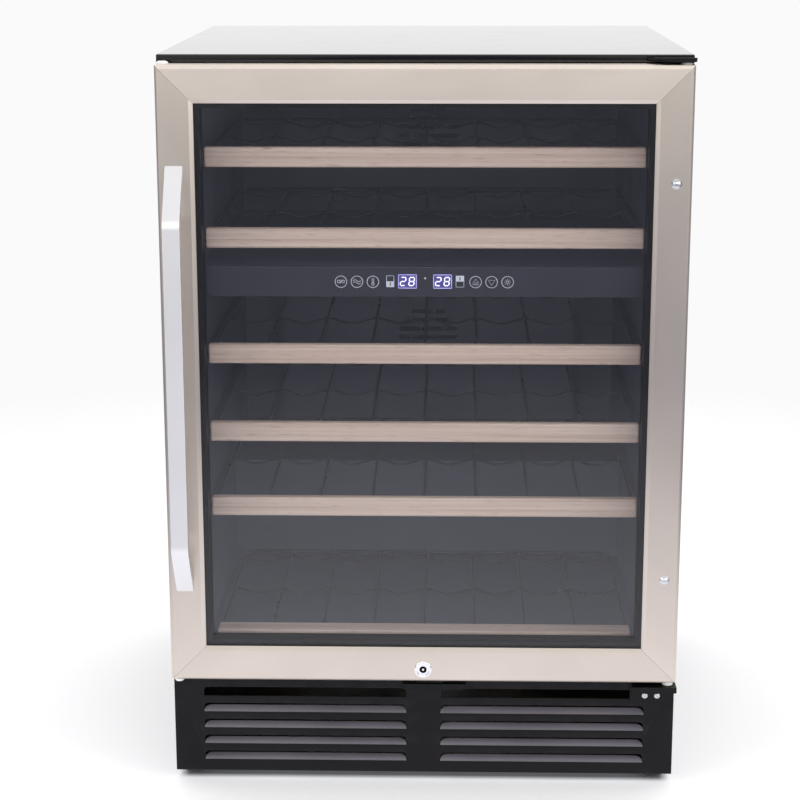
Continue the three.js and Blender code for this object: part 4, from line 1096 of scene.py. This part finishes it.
def makeFloor():
    # a wide pale floor with a painted shadow under the cabinet, that takes on the sky's own tone further out.
    # In reflections it fades from light near the cooler to dim.
    mesh = bpy.data.meshes.new("studio_floor")
    far = studio["reach"]
    mesh.from_pydata([(-far, -far, 0), (far, -far, 0), (far, far, 0), (-far, far, 0)], [], [(0, 1, 2, 3)])
    floor = bpy.data.objects.new("studio_floor", mesh)
    scene.collection.objects.link(floor)
    material, tree, shader = newFinish("studio_floor", Specular_IOR_Level=0.0, Emission_Strength=1.0)
    place = addNode(tree, "TexCoord").outputs["Object"]
    away = addNode(tree, "VectorMath", {0: place}, operation="LENGTH").outputs["Value"]
    outward = remap(tree, away, studio["toneFrom"], studio["toneTo"])
    tone = mixColour(tree, outward, linear(studio["nearTone"]), (0, 0, 0, 1))
    mottle = addNode(tree, "TexNoise", {"Vector": place, "Scale": 3, "Detail": 3}).outputs[0]
    tone = mixColour(tree, multiply(tree, mottle, 0.03), tone, (0, 0, 0, 1))
    spot = addNode(tree, "SeparateXYZ", {0: place})
    middle = addNode(tree, "VectorMath", {0: place, 1: (0, -0.028, 0)}, operation="ADD").outputs[0]
    absolute = addNode(tree, "VectorMath", {0: middle}, operation="ABSOLUTE").outputs[0]
    offset = addNode(tree, "SeparateXYZ", {0: absolute})
    # the cabinet's footprint, blurred at its edges: there the floor's colour and glow are darkened to a painted
    # contact shadow
    covered = [remap(tree, offset.outputs[k], inner, inner + 0.012, 1, 0) for k, inner in ((0, 0.284), (1, 0.255))]
    paintedShadow = multiply(tree, multiply(tree, covered[0], covered[1]), studio["paintedShadowUnderCabinet"])
    lift = mixColour(tree, outward, (studio["lift"],) * 3 + (1,), sky["seen"])
    feed(tree, shader, {"Base Color": mixColour(tree, paintedShadow, tone, (0.05, 0.05, 0.05, 1)),
                        "Emission Color": mixColour(tree, paintedShadow, lift, (0, 0, 0, 1))})
    fade = remap(tree, spot.outputs[1], studio["shineTo"], studio["shineFrom"])
    sideways = addNode(tree, "Math", {0: spot.outputs[0]}, operation="ABSOLUTE").outputs[0]
    near = multiply(tree, fade, remap(tree, sideways, 0.7, 1.5, 1, 0))
    level = mixColour(tree, near, studio["farShine"], studio["nearShine"])
    aside = multiply(tree, remap(tree, sideways, studio["sideFrom"], studio["sideTo"]),
                     addNode(tree, "Math", {0: 1.0, 1: fade}, operation="SUBTRACT").outputs[0])
    glow = addNode(tree, "Emission", {0: mixColour(tree, aside, level, studio["sideShine"])})
    glossy = addNode(tree, "LightPath").outputs["Is Glossy Ray"]
    mix = addNode(tree, "MixShader", {0: glossy, 1: shader.outputs[0], 2: glow.outputs[0]})
    tree.links.new(mix.outputs[0], tree.nodes["Material Output"].inputs["Surface"])
    mesh.materials.append(material)


sky = {
    "seen": (0.955, 0.955, 0.955, 1), "behind": (1.34, 1.34, 1.35, 1), "front": (0.8, 0.79, 0.79, 1),
    "highBehind": (1.9, 1.9, 1.9, 1), "highFront": (0.64, 0.64, 0.66, 1), "side": (0.18, 0.18, 0.19, 1),
    "strength": 0.85,
}


def makeWorld():
    # plain white to the eye. As light it is bright above and behind the cooler and dimmer in front of it.
    world = bpy.data.worlds.new("studio")
    scene.world = world
    world.use_nodes = True
    tree = world.node_tree
    seen = tree.nodes["Background"]
    seen.inputs[0].default_value = sky["seen"]
    way = addNode(tree, "SeparateXYZ", {0: addNode(tree, "TexCoord").outputs["Generated"]})
    facing = remap(tree, way.outputs[1], -0.25, 0.6)
    level = mixColour(tree, facing, sky["front"], sky["behind"])
    sideways = addNode(tree, "Math", {0: way.outputs[0]}, operation="ABSOLUTE").outputs[0]
    level = mixColour(tree, remap(tree, sideways, 0.72, 0.92), level, sky["side"])
    above = mixColour(tree, facing, sky["highFront"], sky["highBehind"])
    whole = mixColour(tree, remap(tree, way.outputs[2], 0.15, 0.7), level, above)
    light = addNode(tree, "Background", {0: whole, 1: sky["strength"]})
    direct = addNode(tree, "LightPath").outputs["Is Camera Ray"]
    mix = addNode(tree, "MixShader", {0: direct, 1: light.outputs[0], 2: seen.outputs[0]})
    tree.links.new(mix.outputs[0], tree.nodes["World Output"].inputs[0])


lamps = {
    "left_softbox": {"at": (-2.6, -2.3, 1.7), "aim": (0, -0.2, 0.5), "size": (1.6, 2.4), "power": 20},
    "right_softbox": {"at": (2.9, -2.0, 1.7), "aim": (0, -0.2, 0.5), "size": (1.6, 2.4), "power": 28},
    "front_softbox": {"at": (0.5, -4.6, 2.3), "aim": (0, -0.3, 0.5), "size": (5.0, 2.2), "power": 52},
    "overhead_softbox": {"at": (0, -1.0, 3.0), "aim": (0, -0.1, 0.3), "size": (3.2, 2.0), "power": 8},
}


def makeLamps():
    for name, values in lamps.items():
        data = bpy.data.lights.new(name, "AREA")
        data.shape = "RECTANGLE"
        data.size, data.size_y = values["size"]
        data.energy = values["power"]
        lamp = bpy.data.objects.new(name, data)
        scene.collection.objects.link(lamp)
        lamp.location = values["at"]
        lamp.rotation_euler = (Vector(values["aim"]) - Vector(values["at"])).to_track_quat("-Z", "Y").to_euler()


makeFloor()
makeWorld()
makeLamps()
print("studio lit")
